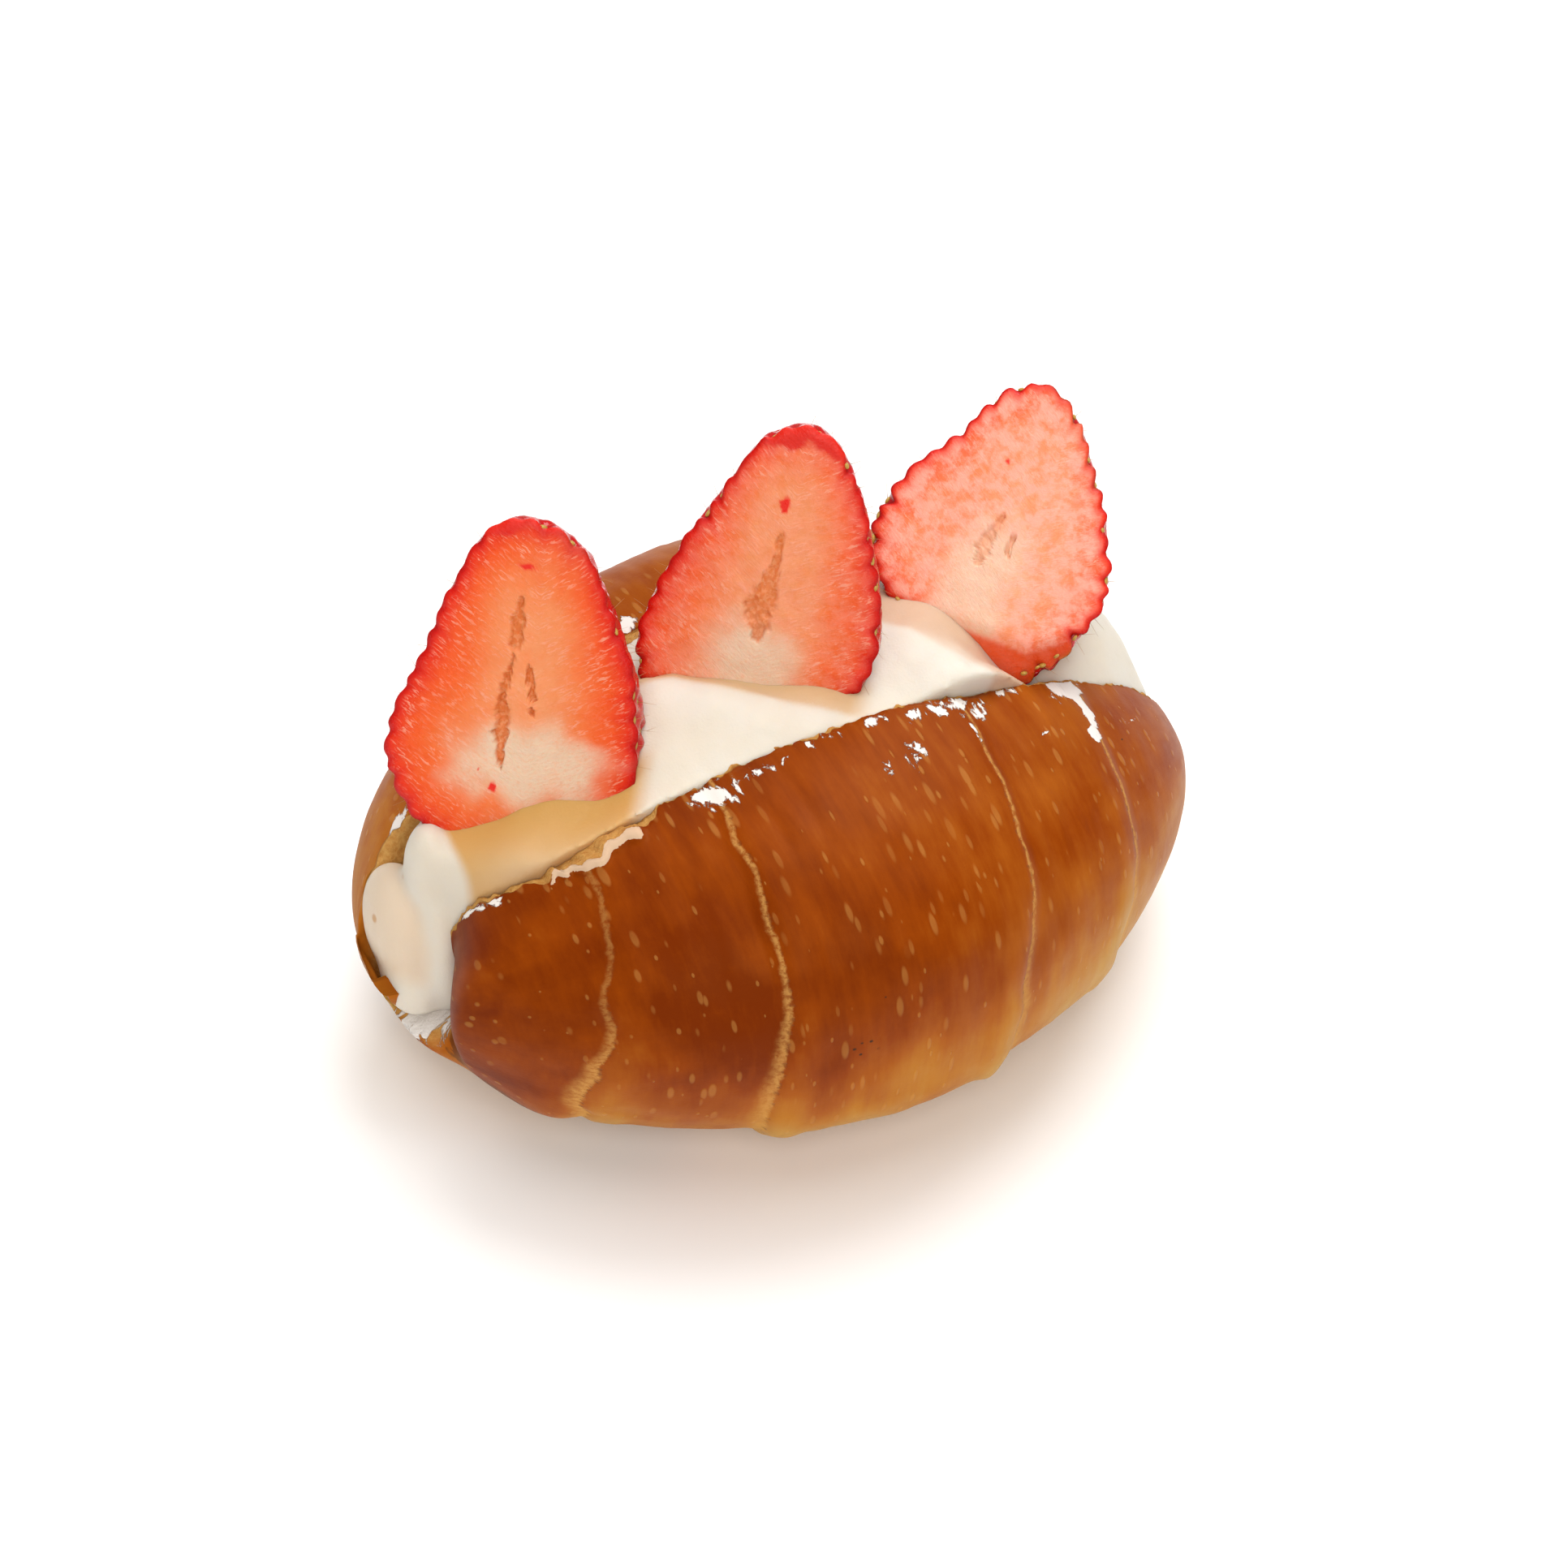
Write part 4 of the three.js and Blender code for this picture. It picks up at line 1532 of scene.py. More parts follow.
@dataclass(frozen=True)
class Lobe:
    """A rounded lump of cream."""

    middle: Triple
    half: Triple

    def inside(self, x: Array, y: Array, z: Array) -> Array:
        """About how many millimetres a place lies outside the lump."""
        (mx, my, mz), (hx, hy, hz) = self.middle, self.half
        scaled = np.sqrt(((x - mx) / hx) ** 2 + ((y - my) / hy) ** 2 + ((z - mz) / hz) ** 2)
        return (scaled - 1.0) * min(self.half)


def blend_low(a: Array, b: Array, k: float) -> Array:
    """The lower of two fields, rounded where they meet."""
    h = np.clip(0.5 + 0.5 * (b - a) / k, 0.0, 1.0)
    return b + (a - b) * h - k * h * (1.0 - h)


def surface_nets(field_at: Array, low: Array, step: float) -> tuple[Array, Array]:
    """A closed mesh where a sampled field crosses zero.

    Args:
        field_at: values on a regular grid, negative inside.
        low: the grid's first corner.
        step: the grid's spacing.

    Returns:
        The vertices and the quads.
    """
    inside = field_at < 0.0
    cells = np.array(field_at.shape) - 1
    total = np.zeros((*cells, 3))
    count = np.zeros(tuple(cells))
    corner = np.stack(np.meshgrid(*(np.arange(n) for n in cells), indexing="ij"), -1)
    for axis in range(3):
        others = [i for i in range(3) if i != axis]
        for sides in product((0, 1), repeat=2):
            start = [slice(0, n) for n in cells]
            for other, side in zip(others, sides):
                start[other] = slice(side, side + cells[other])
            end = list(start)
            end[axis] = slice(1, 1 + cells[axis])
            first, second = field_at[tuple(start)], field_at[tuple(end)]
            crossed = (first < 0.0) != (second < 0.0)
            share = np.where(crossed, first / np.where(crossed, first - second, 1.0), 0.0)
            offset = np.zeros((*cells, 3))
            offset[..., axis] = share
            for other, side in zip(others, sides):
                offset[..., other] = side
            total += np.where(crossed[..., None], corner + offset, 0.0)
            count += crossed
    used = count > 0
    number = np.cumsum(used).reshape(used.shape) - 1
    points = low + step * total[used] / count[used][:, None]
    quads = []
    for axis in range(3):
        u, v = (axis + 1) % 3, (axis + 2) % 3
        first = [slice(1, n) for n in cells]
        first[axis] = slice(0, cells[axis])
        second = list(first)
        second[axis] = slice(1, cells[axis] + 1)
        for rising in (True, False):
            a, b = inside[tuple(first)], inside[tuple(second)]
            where = np.argwhere(a & ~b if rising else ~a & b)
            where += np.array([0 if i == axis else 1 for i in range(3)])
            ring = []
            for du, dv in ((0, 0), (1, 0), (1, 1), (0, 1)):
                at = where.copy()
                at[:, u] -= du
                at[:, v] -= dv
                ring.append(number[tuple(at.T)])
            quads.append(np.stack(ring if rising else ring[::-1], -1))
    return points, np.concatenate(quads)


def relaxed(points: Array, quads: Array, rounds: int, share: float = 0.5) -> Array:
    """Vertices moved towards the middle of their neighbours.

    Args:
        points: the vertices.
        quads: the faces.
        rounds: how many times.
        share: how much of the way they move.

    Returns:
        The moved vertices.
    """
    edges = np.concatenate([quads[:, [i, (i + 1) % 4]] for i in range(4)])
    count = np.bincount(edges.ravel(), minlength=len(points))
    for _ in range(rounds):
        total = np.zeros(points.shape)
        for axis in range(3):
            for start, end in ((0, 1), (1, 0)):
                other = points[edges[:, end], axis]
                total[:, axis] += np.bincount(edges[:, start], other, len(points))
        points = points + share * (total / count[:, None] - points)
    return points


@dataclass
class CreamFilling:
    """Whipped cream heaped in the cut, with a ridge before each half and a lump at the left end."""

    shape: RollShape
    step: float = 0.55
    low: Triple = (-66.0, -18.0, 9.0)
    high: Triple = (62.0, 24.0, 66.0)
    crest: tuple[tuple[float, float], ...] = (
        (-58.5, 36.0), (-56.0, 42.0), (-52.0, 45.5), (-46.0, 47.2), (-41.0, 48.7), (-36.0, 50.4),
        (-30.0, 53.2), (-24.0, 56.4), (-19.0, 58.9), (-12.0, 60.4), (0.0, 60.6), (12.0, 60.4),
        (20.0, 61.0), (25.0, 60.4), (30.0, 58.4), (40.0, 55.0), (51.0, 49.0), (57.0, 41.0),
        (59.5, 32.0),
    )
    ridges: tuple[Ridge, ...] = (
        Ridge(
            ((-19.5, 1.9, 61.0), (-16.2, 0.9, 61.8), (-11.9, -3.1, 62.1), (-7.4, -6.9, 61.5),
             (-2.8, -10.4, 60.1), (2.9, -13.9, 58.3)), 0.20, 0.04,
        ),
        Ridge(
            ((14.2, 1.6, 60.4), (16.2, -1.6, 61.2), (18.1, -4.2, 61.6), (20.5, -9.4, 61.2),
             (23.1, -13.0, 59.6), (25.5, -15.2, 57.0)), 0.08, 0.04,
        ),
        Ridge(
            ((-54.2, 7.6, 47.2), (-53.6, 2.8, 47.8), (-53.0, -0.6, 46.2), (-52.6, -3.2, 42.0),
             (-52.4, -5.4, 37.0)), 0.16, 0.16,
        ),
    )
    hollows: tuple[tuple[float, float, float, float, float], ...] = (
        (34.0, -8.5, 5.5, 6.0, 4.2), (-32.5, -7.0, 8.0, 6.0, 1.9),
    )  # middle x and y, half sizes and depth
    # painted shade with red light bounced from the left, middle and right halves, and how far each
    # reaches
    tints: tuple[tuple[str, float], ...] = (("peach", 14.0), ("blush", 7.0), ("rose", 9.0))
    lobes: tuple[Lobe, ...] = (
        Lobe((-57.4, 5.4, 28.0), (5.2, 8.6, 9.9)),
        Lobe((-54.0, 2.6, 37.4), (3.2, 4.6, 10.0)),
        Lobe((-54.4, -1.6, 26.5), (3.2, 4.4, 11.0)),
        Lobe((-58.3, 1.2, 21.4), (4.2, 5.8, 5.0)),
    )

    @staticmethod
    def lit_by(berry: BerryShape, reach: float, points: Array) -> Array:
        """How strongly a half's painted shade and painted red bounce light colour the cream before
        its face.

        Args:
            berry: the half.
            reach: how far its tint reaches.
            points: places on the cream.

        Returns:
            The strength at each place.
        """
        right, up, out = berry.axes()
        local = points - np.array(berry.base)
        ahead, aside, above = local @ out, local @ right, local @ up
        near = np.exp(-((np.maximum(ahead, 0.0) / reach) ** 2)) * smoothstep(ahead, -4.0, -1.5)
        near *= 1.0 - smoothstep(np.abs(aside + 0.5), 15.0, 19.0)
        near *= 1.0 - smoothstep(above, 8.0, 14.0)
        return near * (1.0 - 0.5 * smoothstep(ahead, 0.4 * reach, reach))

    def top(self, x: Array, y: Array) -> Array:
        """Height of the cream's top over a place on the ground.

        Args:
            x: places along the roll.
            y: places across it.

        Returns:
            The heights.
        """
        u = np.clip(x / self.shape.half_length, -0.999, 0.999)
        lip = self.shape.lip(u) + 0.5
        across = (y - self.shape.middle(u)) / self.shape.half_opening(lip)
        crown = through(self.crest, x) - lip
        base = lip + crown * (1.0 - np.minimum(1.4, np.abs(across)) ** 2.0)
        for ridge in self.ridges:
            base = -blend_low(-base, -ridge.height(x, y), 0.9)
        for mx, my, wide, deep, drop in self.hollows:
            base -= drop * np.exp(-(((x - mx) / wide) ** 2) - ((y - my) / deep) ** 2)
        return base

    def field(self, x: Array, y: Array, z: Array) -> Array:
        """About how many millimetres a place lies outside the cream.

        Args:
            x: places along the roll.
            y: places across it.
            z: heights.

        Returns:
            Negative inside the cream.
        """
        u = np.clip(x / self.shape.half_length, -0.999, 0.999)
        ground = stacked(x[..., 0], y[..., 0], 0.0)
        top = self.top(x[..., :1], y[..., :1]) + 0.45 * noise(ground, 9.0, 81, 2)[..., None]
        off = np.abs(y - self.shape.middle(u)) - self.shape.half_opening(z)
        body = np.maximum((z - top) * 0.8, off - 0.7)
        body = np.maximum(body, self.shape.floor(u) - 0.6 - z)
        ends = np.maximum(-54.6 - x + 0.05 * (y - 2.0) ** 2, x - 59.0)
        body = -blend_low(-body, -ends, 4.0)
        for lobe in self.lobes:
            body = blend_low(body, lobe.inside(x, y, z), 1.3)
        return body

    def build(self, finish: Material, berries: Sequence[BerryShape]) -> Object:
        """Builds the cream's mesh with its painted berry shade.

        Args:
            finish: its material.
            berries: the halves whose painted shade and red bounce light tint it.

        Returns:
            The cream, still in millimetres.
        """
        axes = [np.arange(a, b, self.step) for a, b in zip(self.low, self.high)]
        x, y, z = np.meshgrid(*axes, indexing="ij")
        points, quads = surface_nets(self.field(x, y, z), np.array(self.low), self.step)
        points = relaxed(points, quads, 4)
        points = points + (0.07 * noise(points, 2.2, 82, 2))[:, None] * np.array([0.3, -0.3, 0.9])
        made = mesh_object("whipped_cream_filling", points, quads.tolist())
        face_outwards(made)
        x, y, _ = points.T
        # the painted shade and bounce light lie right of the left column and in the valley behind
        # each crest
        sides = (
            smoothstep(x, -51.9, -50.3), self.ridges[0].behind(x, y), self.ridges[1].behind(x, y),
        )
        for berry, (name, reach), side in zip(berries, self.tints, sides):
            point_attribute(made, name, side * self.lit_by(berry, reach, points))
        point_attribute(made, "lump", np.clip(-self.lobes[0].inside(*points.T) + 1.0, 0.0, 1.0))
        made.data.materials.append(finish)
        return made


# ---- finishes of the filling -------------------------------------------------------------


@dataclass
class CreamFinish(Finish):
    """Whipped cream: soft white, with painted shade and painted red light bounced from the berries
    before each half.
    """

    name: str = "whipped_cream"
    white: Colour = (0.68, 0.64, 0.565, 1.0)
    warm: Colour = (0.66, 0.57, 0.44, 1.0)
    # colours of the painted shade lit by red light bounced from the left, middle and right halves
    peach: Colour = (0.57, 0.32, 0.095, 1.0)
    blush: Colour = (0.58, 0.36, 0.16, 1.0)
    rose: Colour = (0.56, 0.35, 0.22, 1.0)
    lump: Colour = (0.70, 0.49, 0.30, 1.0)
    crumb: Colour = (0.50, 0.24, 0.07, 1.0)

    def dress(self, tree: Tree) -> None:
        """Adds the cream's nodes.

        Args:
            tree: the material's tree.
        """
        where = tree.add("ShaderNodeTexCoord", _out="Object")
        cloud = tree.noise(where, 60.0, 2.0)
        colour = tree.mix(tree.ramp(cloud, 0.35, 0.7, 0.05, 0.5), self.white, self.warm)
        # painted shade and painted berry bounce light before each half
        for name, tint, strength in (
            ("peach", self.peach, 1.0), ("blush", self.blush, 0.85), ("rose", self.rose, 0.85),
        ):
            colour = tree.mix(tree.times(tree.attribute(name), strength), colour, tint)
        colour = tree.mix(tree.times(tree.attribute("lump"), 0.5), colour, self.lump)
        specks = tree.group(speckle_group(), Vector=where, Scale=260.0, Share=0.10, Size=0.26)
        specks = tree.times(specks, tree.attribute("lump"))
        colour = tree.mix(tree.times(specks, 0.7), colour, self.crumb)
        foam = tree.maths("ADD", tree.noise(where, 700.0, 4.0, 0.6), tree.noise(where, 2600.0, 2.0))
        self.set(
            Base_Color=colour, Roughness=0.42, Specular_IOR_Level=0.16,
            Subsurface_Weight=0.4, Subsurface_Scale=0.002, Subsurface_Radius=(1.0, 0.75, 0.5),
            Normal=tree.bump(foam, 0.045 * MM),
        )


@dataclass
class BerryFinish(Finish):
    """Cut strawberry: a red rim, fibrous flesh, a pale heart with its gaps, and glossy skin."""

    paleness_and_sheen: PalenessAndSheen = PalenessAndSheen.RED
    name: str = "strawberry"
    flesh: Stops = (
        (0.0, (0.42, 0.003, 0.002)),
        (0.05, (0.58, 0.007, 0.003)),
        (0.14, (0.72, 0.030, 0.005)),
        (0.34, (0.79, 0.090, 0.012)),
        (0.70, (0.80, 0.142, 0.025)),
        (1.0, (0.80, 0.195, 0.055)),
    )
    heart: Colour = (0.79, 0.33, 0.145, 1.0)
    white: Colour = (0.73, 0.56, 0.41, 1.0)
    # pale fibre streaks: partly the flesh's own fibres, partly painted wet glints
    fibre: Colour = (0.84, 0.36, 0.24, 1.0)
    gap: Colour = (0.66, 0.165, 0.035, 1.0)
    spot: Colour = (0.74, 0.020, 0.010, 1.0)
    # painted whitish sheen: the light above reflected on faces that lean back
    sheen_veil: Colour = (0.90, 0.42, 0.33, 1.0)
    skin: Colour = (0.50, 0.004, 0.005, 1.0)
    heel: Colour = (0.70, 0.068, 0.008, 1.0)
    cap: Colour = (0.66, 0.020, 0.010, 1.0)

    def rimmed(self, tree: Tree, face: Socket) -> Socket:
        """The flesh's colour, from the deep red rim to its paler middle.

        Args:
            tree: the material's tree.
            face: the cut face's UV.

        Returns:
            The colour.
        """
        wander = tree.scaled(tree.noise(face, 260.0, 3.0), 1.4, -0.7)
        edge = tree.maths("ADD", tree.attribute("edge"), wander)
        # halves with more painted sheen get a narrower red rim: partly paler flesh, partly painted
        # sheen
        inwards = tree.maths("DIVIDE", edge, 11.0 - 5.0 * self.paleness_and_sheen.value, clamp=True)
        return tree.colours(inwards, self.flesh)

    def fibrous(self, tree: Tree, face: Socket, strands: Socket, colour: Socket) -> Socket:
        """The flesh with its pale heart and its patches of pale fibres, partly real fibres and partly
        painted wet glints.

        Args:
            tree: the material's tree.
            face: the cut face's UV.
            strands: noise drawn out along the fibres.
            colour: the flesh's colour.

        Returns:
            The colour.
        """
        cloudy = tree.ramp(tree.noise(face, 420.0, 4.0), 0.2, 0.75, 0.6, 1.0)
        heart = tree.times(tree.attribute("heart"), cloudy)
        colour = tree.mix(tree.times(heart, 0.75), colour, self.heart)
        patches = tree.ramp(tree.noise(face, 260.0, 3.0, 0.6), 0.4, 0.64)
        near_rim = tree.ramp(tree.attribute("edge"), 0.5, 1.8)
        # streaks that are partly real fibres and partly painted wet glints
        pale_fibre_glint = tree.times(tree.ramp(strands, 0.53, 0.62), near_rim)
        pale_fibre_glint = tree.times(pale_fibre_glint, tree.scaled(patches, 0.55, 0.15))
        return tree.mix(pale_fibre_glint, colour, self.fibre)

    def veiled(self, tree: Tree, face: Socket, fibre: Socket, colour: Socket) -> Socket:
        """The flesh with its painted frosty sheen, standing for the light above reflected on the
        face, and the white part round its heel.

        Args:
            tree: the material's tree.
            face: the cut face's UV.
            fibre: the UV that follows the fibres.
            colour: the flesh's colour.

        Returns:
            The colour.
        """
        sheen_veil = self.paleness_and_sheen.value
        if sheen_veil:
            # painted glints and whitish sheen, standing for the light above reflected on the face,
            # kept off its rim
            painted_glints = tree.ramp(tree.noise(face, 380.0, 5.0, 0.7), 0.36, 0.6, 0.15, 1.0)
            painted_glints = tree.times(painted_glints, tree.ramp(tree.attribute("edge"), 0.1, 2.4))
            colour = tree.mix(tree.times(painted_glints, 0.75 * sheen_veil), colour, self.sheen_veil)
        grain = tree.noise(tree.stretched(fibre, (0.5, 1.0, 1.0)), 2600.0, 3.0, 0.6)
        grain = tree.ramp(grain, 0.2, 0.6, 0.65, 1.0)
        white = tree.times(tree.attribute("white"), grain)
        return tree.mix(tree.times(white, 0.92 - 0.2 * sheen_veil), colour, self.white)

    def marked(self, tree: Tree, face: Socket, colour: Socket) -> Socket:
        """The flesh with its gaps, spots, hull cut and the skin that wraps over its tip.

        Args:
            tree: the material's tree.
            face: the cut face's UV.
            colour: the flesh's colour.

        Returns:
            The colour.
        """
        lumps = tree.noise(face, 1500.0, 2.0, 0.5)
        gap = tree.mix(tree.ramp(lumps, 0.45, 0.62, 0.0, 0.6), self.gap, self.heart)
        # the gaps show paler on halves with more painted sheen
        deep = 0.95 - 0.6 * self.paleness_and_sheen.value
        colour = tree.mix(tree.times(tree.attribute("slit"), deep), colour, gap)
        colour = tree.mix(tree.attribute("spot"), colour, self.spot)
        colour = tree.mix(tree.times(tree.attribute("heel"), 0.85), colour, self.heel)
        return tree.mix(tree.attribute("cap"), colour, self.cap)

    def dress(self, tree: Tree) -> None:
        """Adds the berry's nodes.

        Args:
            tree: the material's tree.
        """
        face = tree.add("ShaderNodeUVMap", uv_map="face")
        fibre = tree.add("ShaderNodeUVMap", uv_map="fibre")
        strands = tree.noise(tree.stretched(fibre, (0.24, 1.0, 1.0)), 2600.0, 3.0, 0.6)
        strands.node.inputs["Distortion"].default_value = 0.9
        colour = self.fibrous(tree, face, strands, self.rimmed(tree, face))
        colour = self.veiled(tree, face, fibre, colour)
        colour = self.marked(tree, face, colour)
        skin = tree.attribute("skin")
        colour = tree.mix(skin, colour, self.skin)

        cells = tree.noise(face, 2400.0, 4.0, 0.6)
        height = tree.maths("ADD", strands, tree.times(cells, 0.7))
        bare = tree.maths("SUBTRACT", 1.0, tree.times(skin, 0.9))
        height = tree.times(height, bare)
        wet = tree.ramp(tree.noise(face, 500.0, 2.0), 0.35, 0.65, 0.24, 0.42)
        rough = tree.maths("SUBTRACT", wet, tree.times(skin, 0.14))
        self.set(
            Base_Color=colour, Roughness=rough, Specular_IOR_Level=0.2,
            Coat_Weight=tree.times(skin, 0.35), Coat_Roughness=0.15,
            Subsurface_Weight=0.3, Subsurface_Scale=0.002, Subsurface_Radius=(1.0, 0.30, 0.15),
            Normal=tree.bump(height, 0.10 * MM),
        )


@dataclass
class PlainFinish(Finish):
    """A finish of one colour."""

    name: str = "plain"
    colour: Colour = (0.8, 0.8, 0.8, 1.0)
    roughness: float = 0.5
    subsurface: float = 0.0

    def dress(self, tree: Tree) -> None:
        """Sets the colour and roughness."""
        self.set(
            Base_Color=self.colour, Roughness=self.roughness,
            Subsurface_Weight=self.subsurface, Subsurface_Scale=0.0006,
        )


# ---- what is scattered -------------------------------------------------------------------


class Sprig(Enum):
    """What a scatter puts on each point."""

    ACHENE = "achenes"
    HAIR = "hairs"


@dataclass
class Scatter:
    """A Geometry Nodes tree that puts a small shape on each point of a mesh.

    Args:
        sprig: the shape.
        size: its length, in metres.
        width: its width, in metres.
        share: the share of the points that carry one.
        tilt: how far it leans from the surface's outward direction, in radians.
        seed: for the random choices.
    """

    sprig: Sprig
    size: float
    width: float
    share: float = 1.0
    tilt: float = 0.2
    seed: int = 1

    def shape(self, tree: Tree, given: Node) -> Socket:
        """The scattered shape, along Z for a hair and along X for an achene.

        Args:
            tree: the scatter's tree.
            given: its input node.

        Returns:
            The shape's geometry.
        """
        size, width = given.outputs["Size"], given.outputs["Width"]
        half = tree.times(size, 0.5)
        slim = tree.times(width, 0.5)
        if self.sprig is Sprig.HAIR:
            return tree.add(
                "GeometryNodeMeshCone", Vertices=4, Side_Segments=2, Fill_Segments=1,
                Radius_Top=tree.times(slim, 0.3), Radius_Bottom=slim, Depth=size,
            )
        ball = tree.add("GeometryNodeMeshUVSphere", Segments=8, Rings=6, Radius=1.0)
        flat = tree.times(slim, 0.62)
        scale = tree.add("ShaderNodeCombineXYZ", i0=half, i1=slim, i2=flat)
        return tree.add("GeometryNodeTransform", Geometry=ball, Scale=scale)

    def tree(self) -> NodeTree:
        """Builds the tree.

        Returns:
            The tree.
        """
        tree, given, result = new_group(
            "scatter_" + self.sprig.value,
            {
                "Geometry": GEOMETRY, "Size": FLOAT, "Width": FLOAT, "Share": FLOAT,
                "Tilt": FLOAT, "Seed": INTEGER, "Material": MATERIAL,
            },
            {"Geometry": GEOMETRY}, "GeometryNodeTree",
        )
        wanted = given.outputs
        out = tree.add("GeometryNodeInputNamedAttribute", data_type="FLOAT_VECTOR", Name="out")
        tip = tree.add("GeometryNodeInputNamedAttribute", data_type="FLOAT_VECTOR", Name="tip")
        align = "FunctionNodeAlignRotationToVector"
        turn = tree.add(align, axis="X", Vector=tip)
        turn = tree.add(align, axis="Z", pivot_axis="AUTO", Rotation=turn, Vector=out)
        random = "FunctionNodeRandomValue"
        lean = tree.add(random, data_type="FLOAT_VECTOR", Seed=wanted["Seed"])
        tree.put(lean.node.inputs[0], (-1.0, -1.0, -1.0))
        lean = tree.add("ShaderNodeVectorMath", operation="SCALE", i0=lean, Scale=wanted["Tilt"])
        lean = tree.add("FunctionNodeEulerToRotation", Euler=lean)
        turn = tree.add("FunctionNodeRotateRotation", Rotation=turn, Rotate_By=lean)
        turn.node.rotation_space = "LOCAL"
        pick = tree.add(random, data_type="BOOLEAN", Seed=wanted["Seed"])
        tree.put(pick.node.inputs["Probability"], wanted["Share"])
        pick = [s for s in pick.node.outputs if s.type == "BOOLEAN"][0]
        grow = tree.add(random, _out=1, data_type="FLOAT", Seed=wanted["Seed"])
        tree.put(grow.node.inputs[2], 0.75)
        tree.put(grow.node.inputs[3], 1.2)
        placed = tree.add(
            "GeometryNodeInstanceOnPoints", Points=wanted["Geometry"], Selection=pick,
            Instance=self.shape(tree, given), Rotation=turn, Scale=grow,
        )
        real = tree.add("GeometryNodeRealizeInstances", Geometry=placed)
        real = tree.add("GeometryNodeSetShadeSmooth", Geometry=real)
        real = tree.add("GeometryNodeSetMaterial", Geometry=real, Material=wanted["Material"])
        tree.put(result.inputs["Geometry"], real)
        return tree.tree

    def grow(
        self, seats: Object, name: str, finish: Material
    ) -> Object:
        """Scatters the shape on the points of an object.

        Args:
            seats: the points, with the attributes out and tip; in metres.
            name: the name of the result.
            finish: its material.

        Returns:
            The result as a plain mesh.
        """
        tree = self.tree()
        modifier = seats.modifiers.new("scatter", "NODES")
        modifier.node_group = tree
        values = {
            "Size": self.size, "Width": self.width, "Share": self.share, "Tilt": self.tilt,
            "Seed": self.seed, "Material": finish,
        }
        for item in tree.interface.items_tree:
            if item.in_out == "INPUT" and item.name in values:
                modifier[item.identifier] = values[item.name]
        graph = bpy.context.evaluated_depsgraph_get()
        mesh = bpy.data.meshes.new_from_object(seats.evaluated_get(graph))
        seats.modifiers.remove(modifier)
        made = bpy.data.objects.new(name, mesh)
        bpy.context.scene.collection.objects.link(made)
        return made


# ---- the studio --------------------------------------------------------------------------


@dataclass(frozen=True)
class Lamp:
    """A soft round light: its place and width in metres, its power in watts and its colour."""

    name: str
    at: Triple
    width: float
    power: float
    colour: Triple

    def build(self, target: Vector) -> None:
        """Adds the light, pointed at a target.

        Args:
            target: where it points.
        """
        light = bpy.data.lights.new(self.name, "AREA")
        light.shape = "DISK"
        light.size = self.width
        light.energy = self.power
        light.color = self.colour
        made = bpy.data.objects.new(self.name, light)
        made.location = self.at
        away = target - Vector(self.at)
        made.rotation_euler = away.to_track_quat("-Z", "Y").to_euler()
        bpy.context.scene.collection.objects.link(made)


@dataclass
class Studio:
    """A white table, a large soft key light behind and above, a soft fill, and the camera."""

    lamps: tuple[Lamp, ...] = (
        Lamp("window", (0.55, 0.42, 1.2), 1.0, 12.4, (0.95, 0.98, 1.0)),
        Lamp("ceiling", (0.0, 0.1, 1.5), 1.5, 10.4, (1.0, 0.985, 0.965)),
        Lamp("fill", (-0.45, -1.05, 1.0), 1.0, 12.8, (1.0, 0.955, 0.90)),
    )
    lit: Triple = (0.0, 0.0, 0.03)  # where the lamps point
    room: Colour = (1.0, 0.985, 0.97, 1.0)
    room_strength: float = 0.27
    table_half: float = 3.0
    target: Triple = (0.48, 2.457, 34.34)  # millimetres
    turn: float = -26.93  # degrees round Z from the front
    rise: float = 43.1  # degrees above the table
    distance: float = 479.34  # millimetres
    lens: float = 75.77

    def floor(self) -> None:
        """Lays the table."""
        half = self.table_half
        corners = np.array([(-half, -half, 0), (half, -half, 0), (half, half, 0), (-half, half, 0)])
        table = mesh_object("table", corners, [(0, 1, 2, 3)])
        table.data.materials.append(PlainFinish("table_top", (0.97, 0.965, 0.96, 1.0), 0.8).build())

    def surroundings(self) -> None:
        """Sets the pale room."""
        world = bpy.data.worlds.new("room")
        world.use_nodes = True
        sky = world.node_tree.nodes["Background"]
        sky.inputs["Color"].default_value = self.room
        sky.inputs["Strength"].default_value = self.room_strength
        bpy.context.scene.world = world
        bpy.context.scene.view_settings.view_transform = "Standard"

    def camera(self) -> None:
        """Sets the camera."""
        turn, rise = math.radians(self.turn), math.radians(self.rise)
        flat = math.cos(rise)
        back = Vector((math.sin(turn) * flat, -math.cos(turn) * flat, math.sin(rise)))
        data = bpy.data.cameras.new("camera")
        data.lens = self.lens
        data.sensor_width = 36.0
        data.clip_start = 0.01
        made = bpy.data.objects.new("camera", data)
        made.location = (Vector(self.target) + back * self.distance) * MM
        made.rotation_euler = back.to_track_quat("Z", "Y").to_euler()
        bpy.context.scene.collection.objects.link(made)
        bpy.context.scene.camera = made

    def build(self) -> None:
        """Builds the studio."""
        self.floor()
        self.surroundings()
        for lamp in self.lamps:
            lamp.build(Vector(self.lit))
        self.camera()


# ---- the whole ---------------------------------------------------------------------------


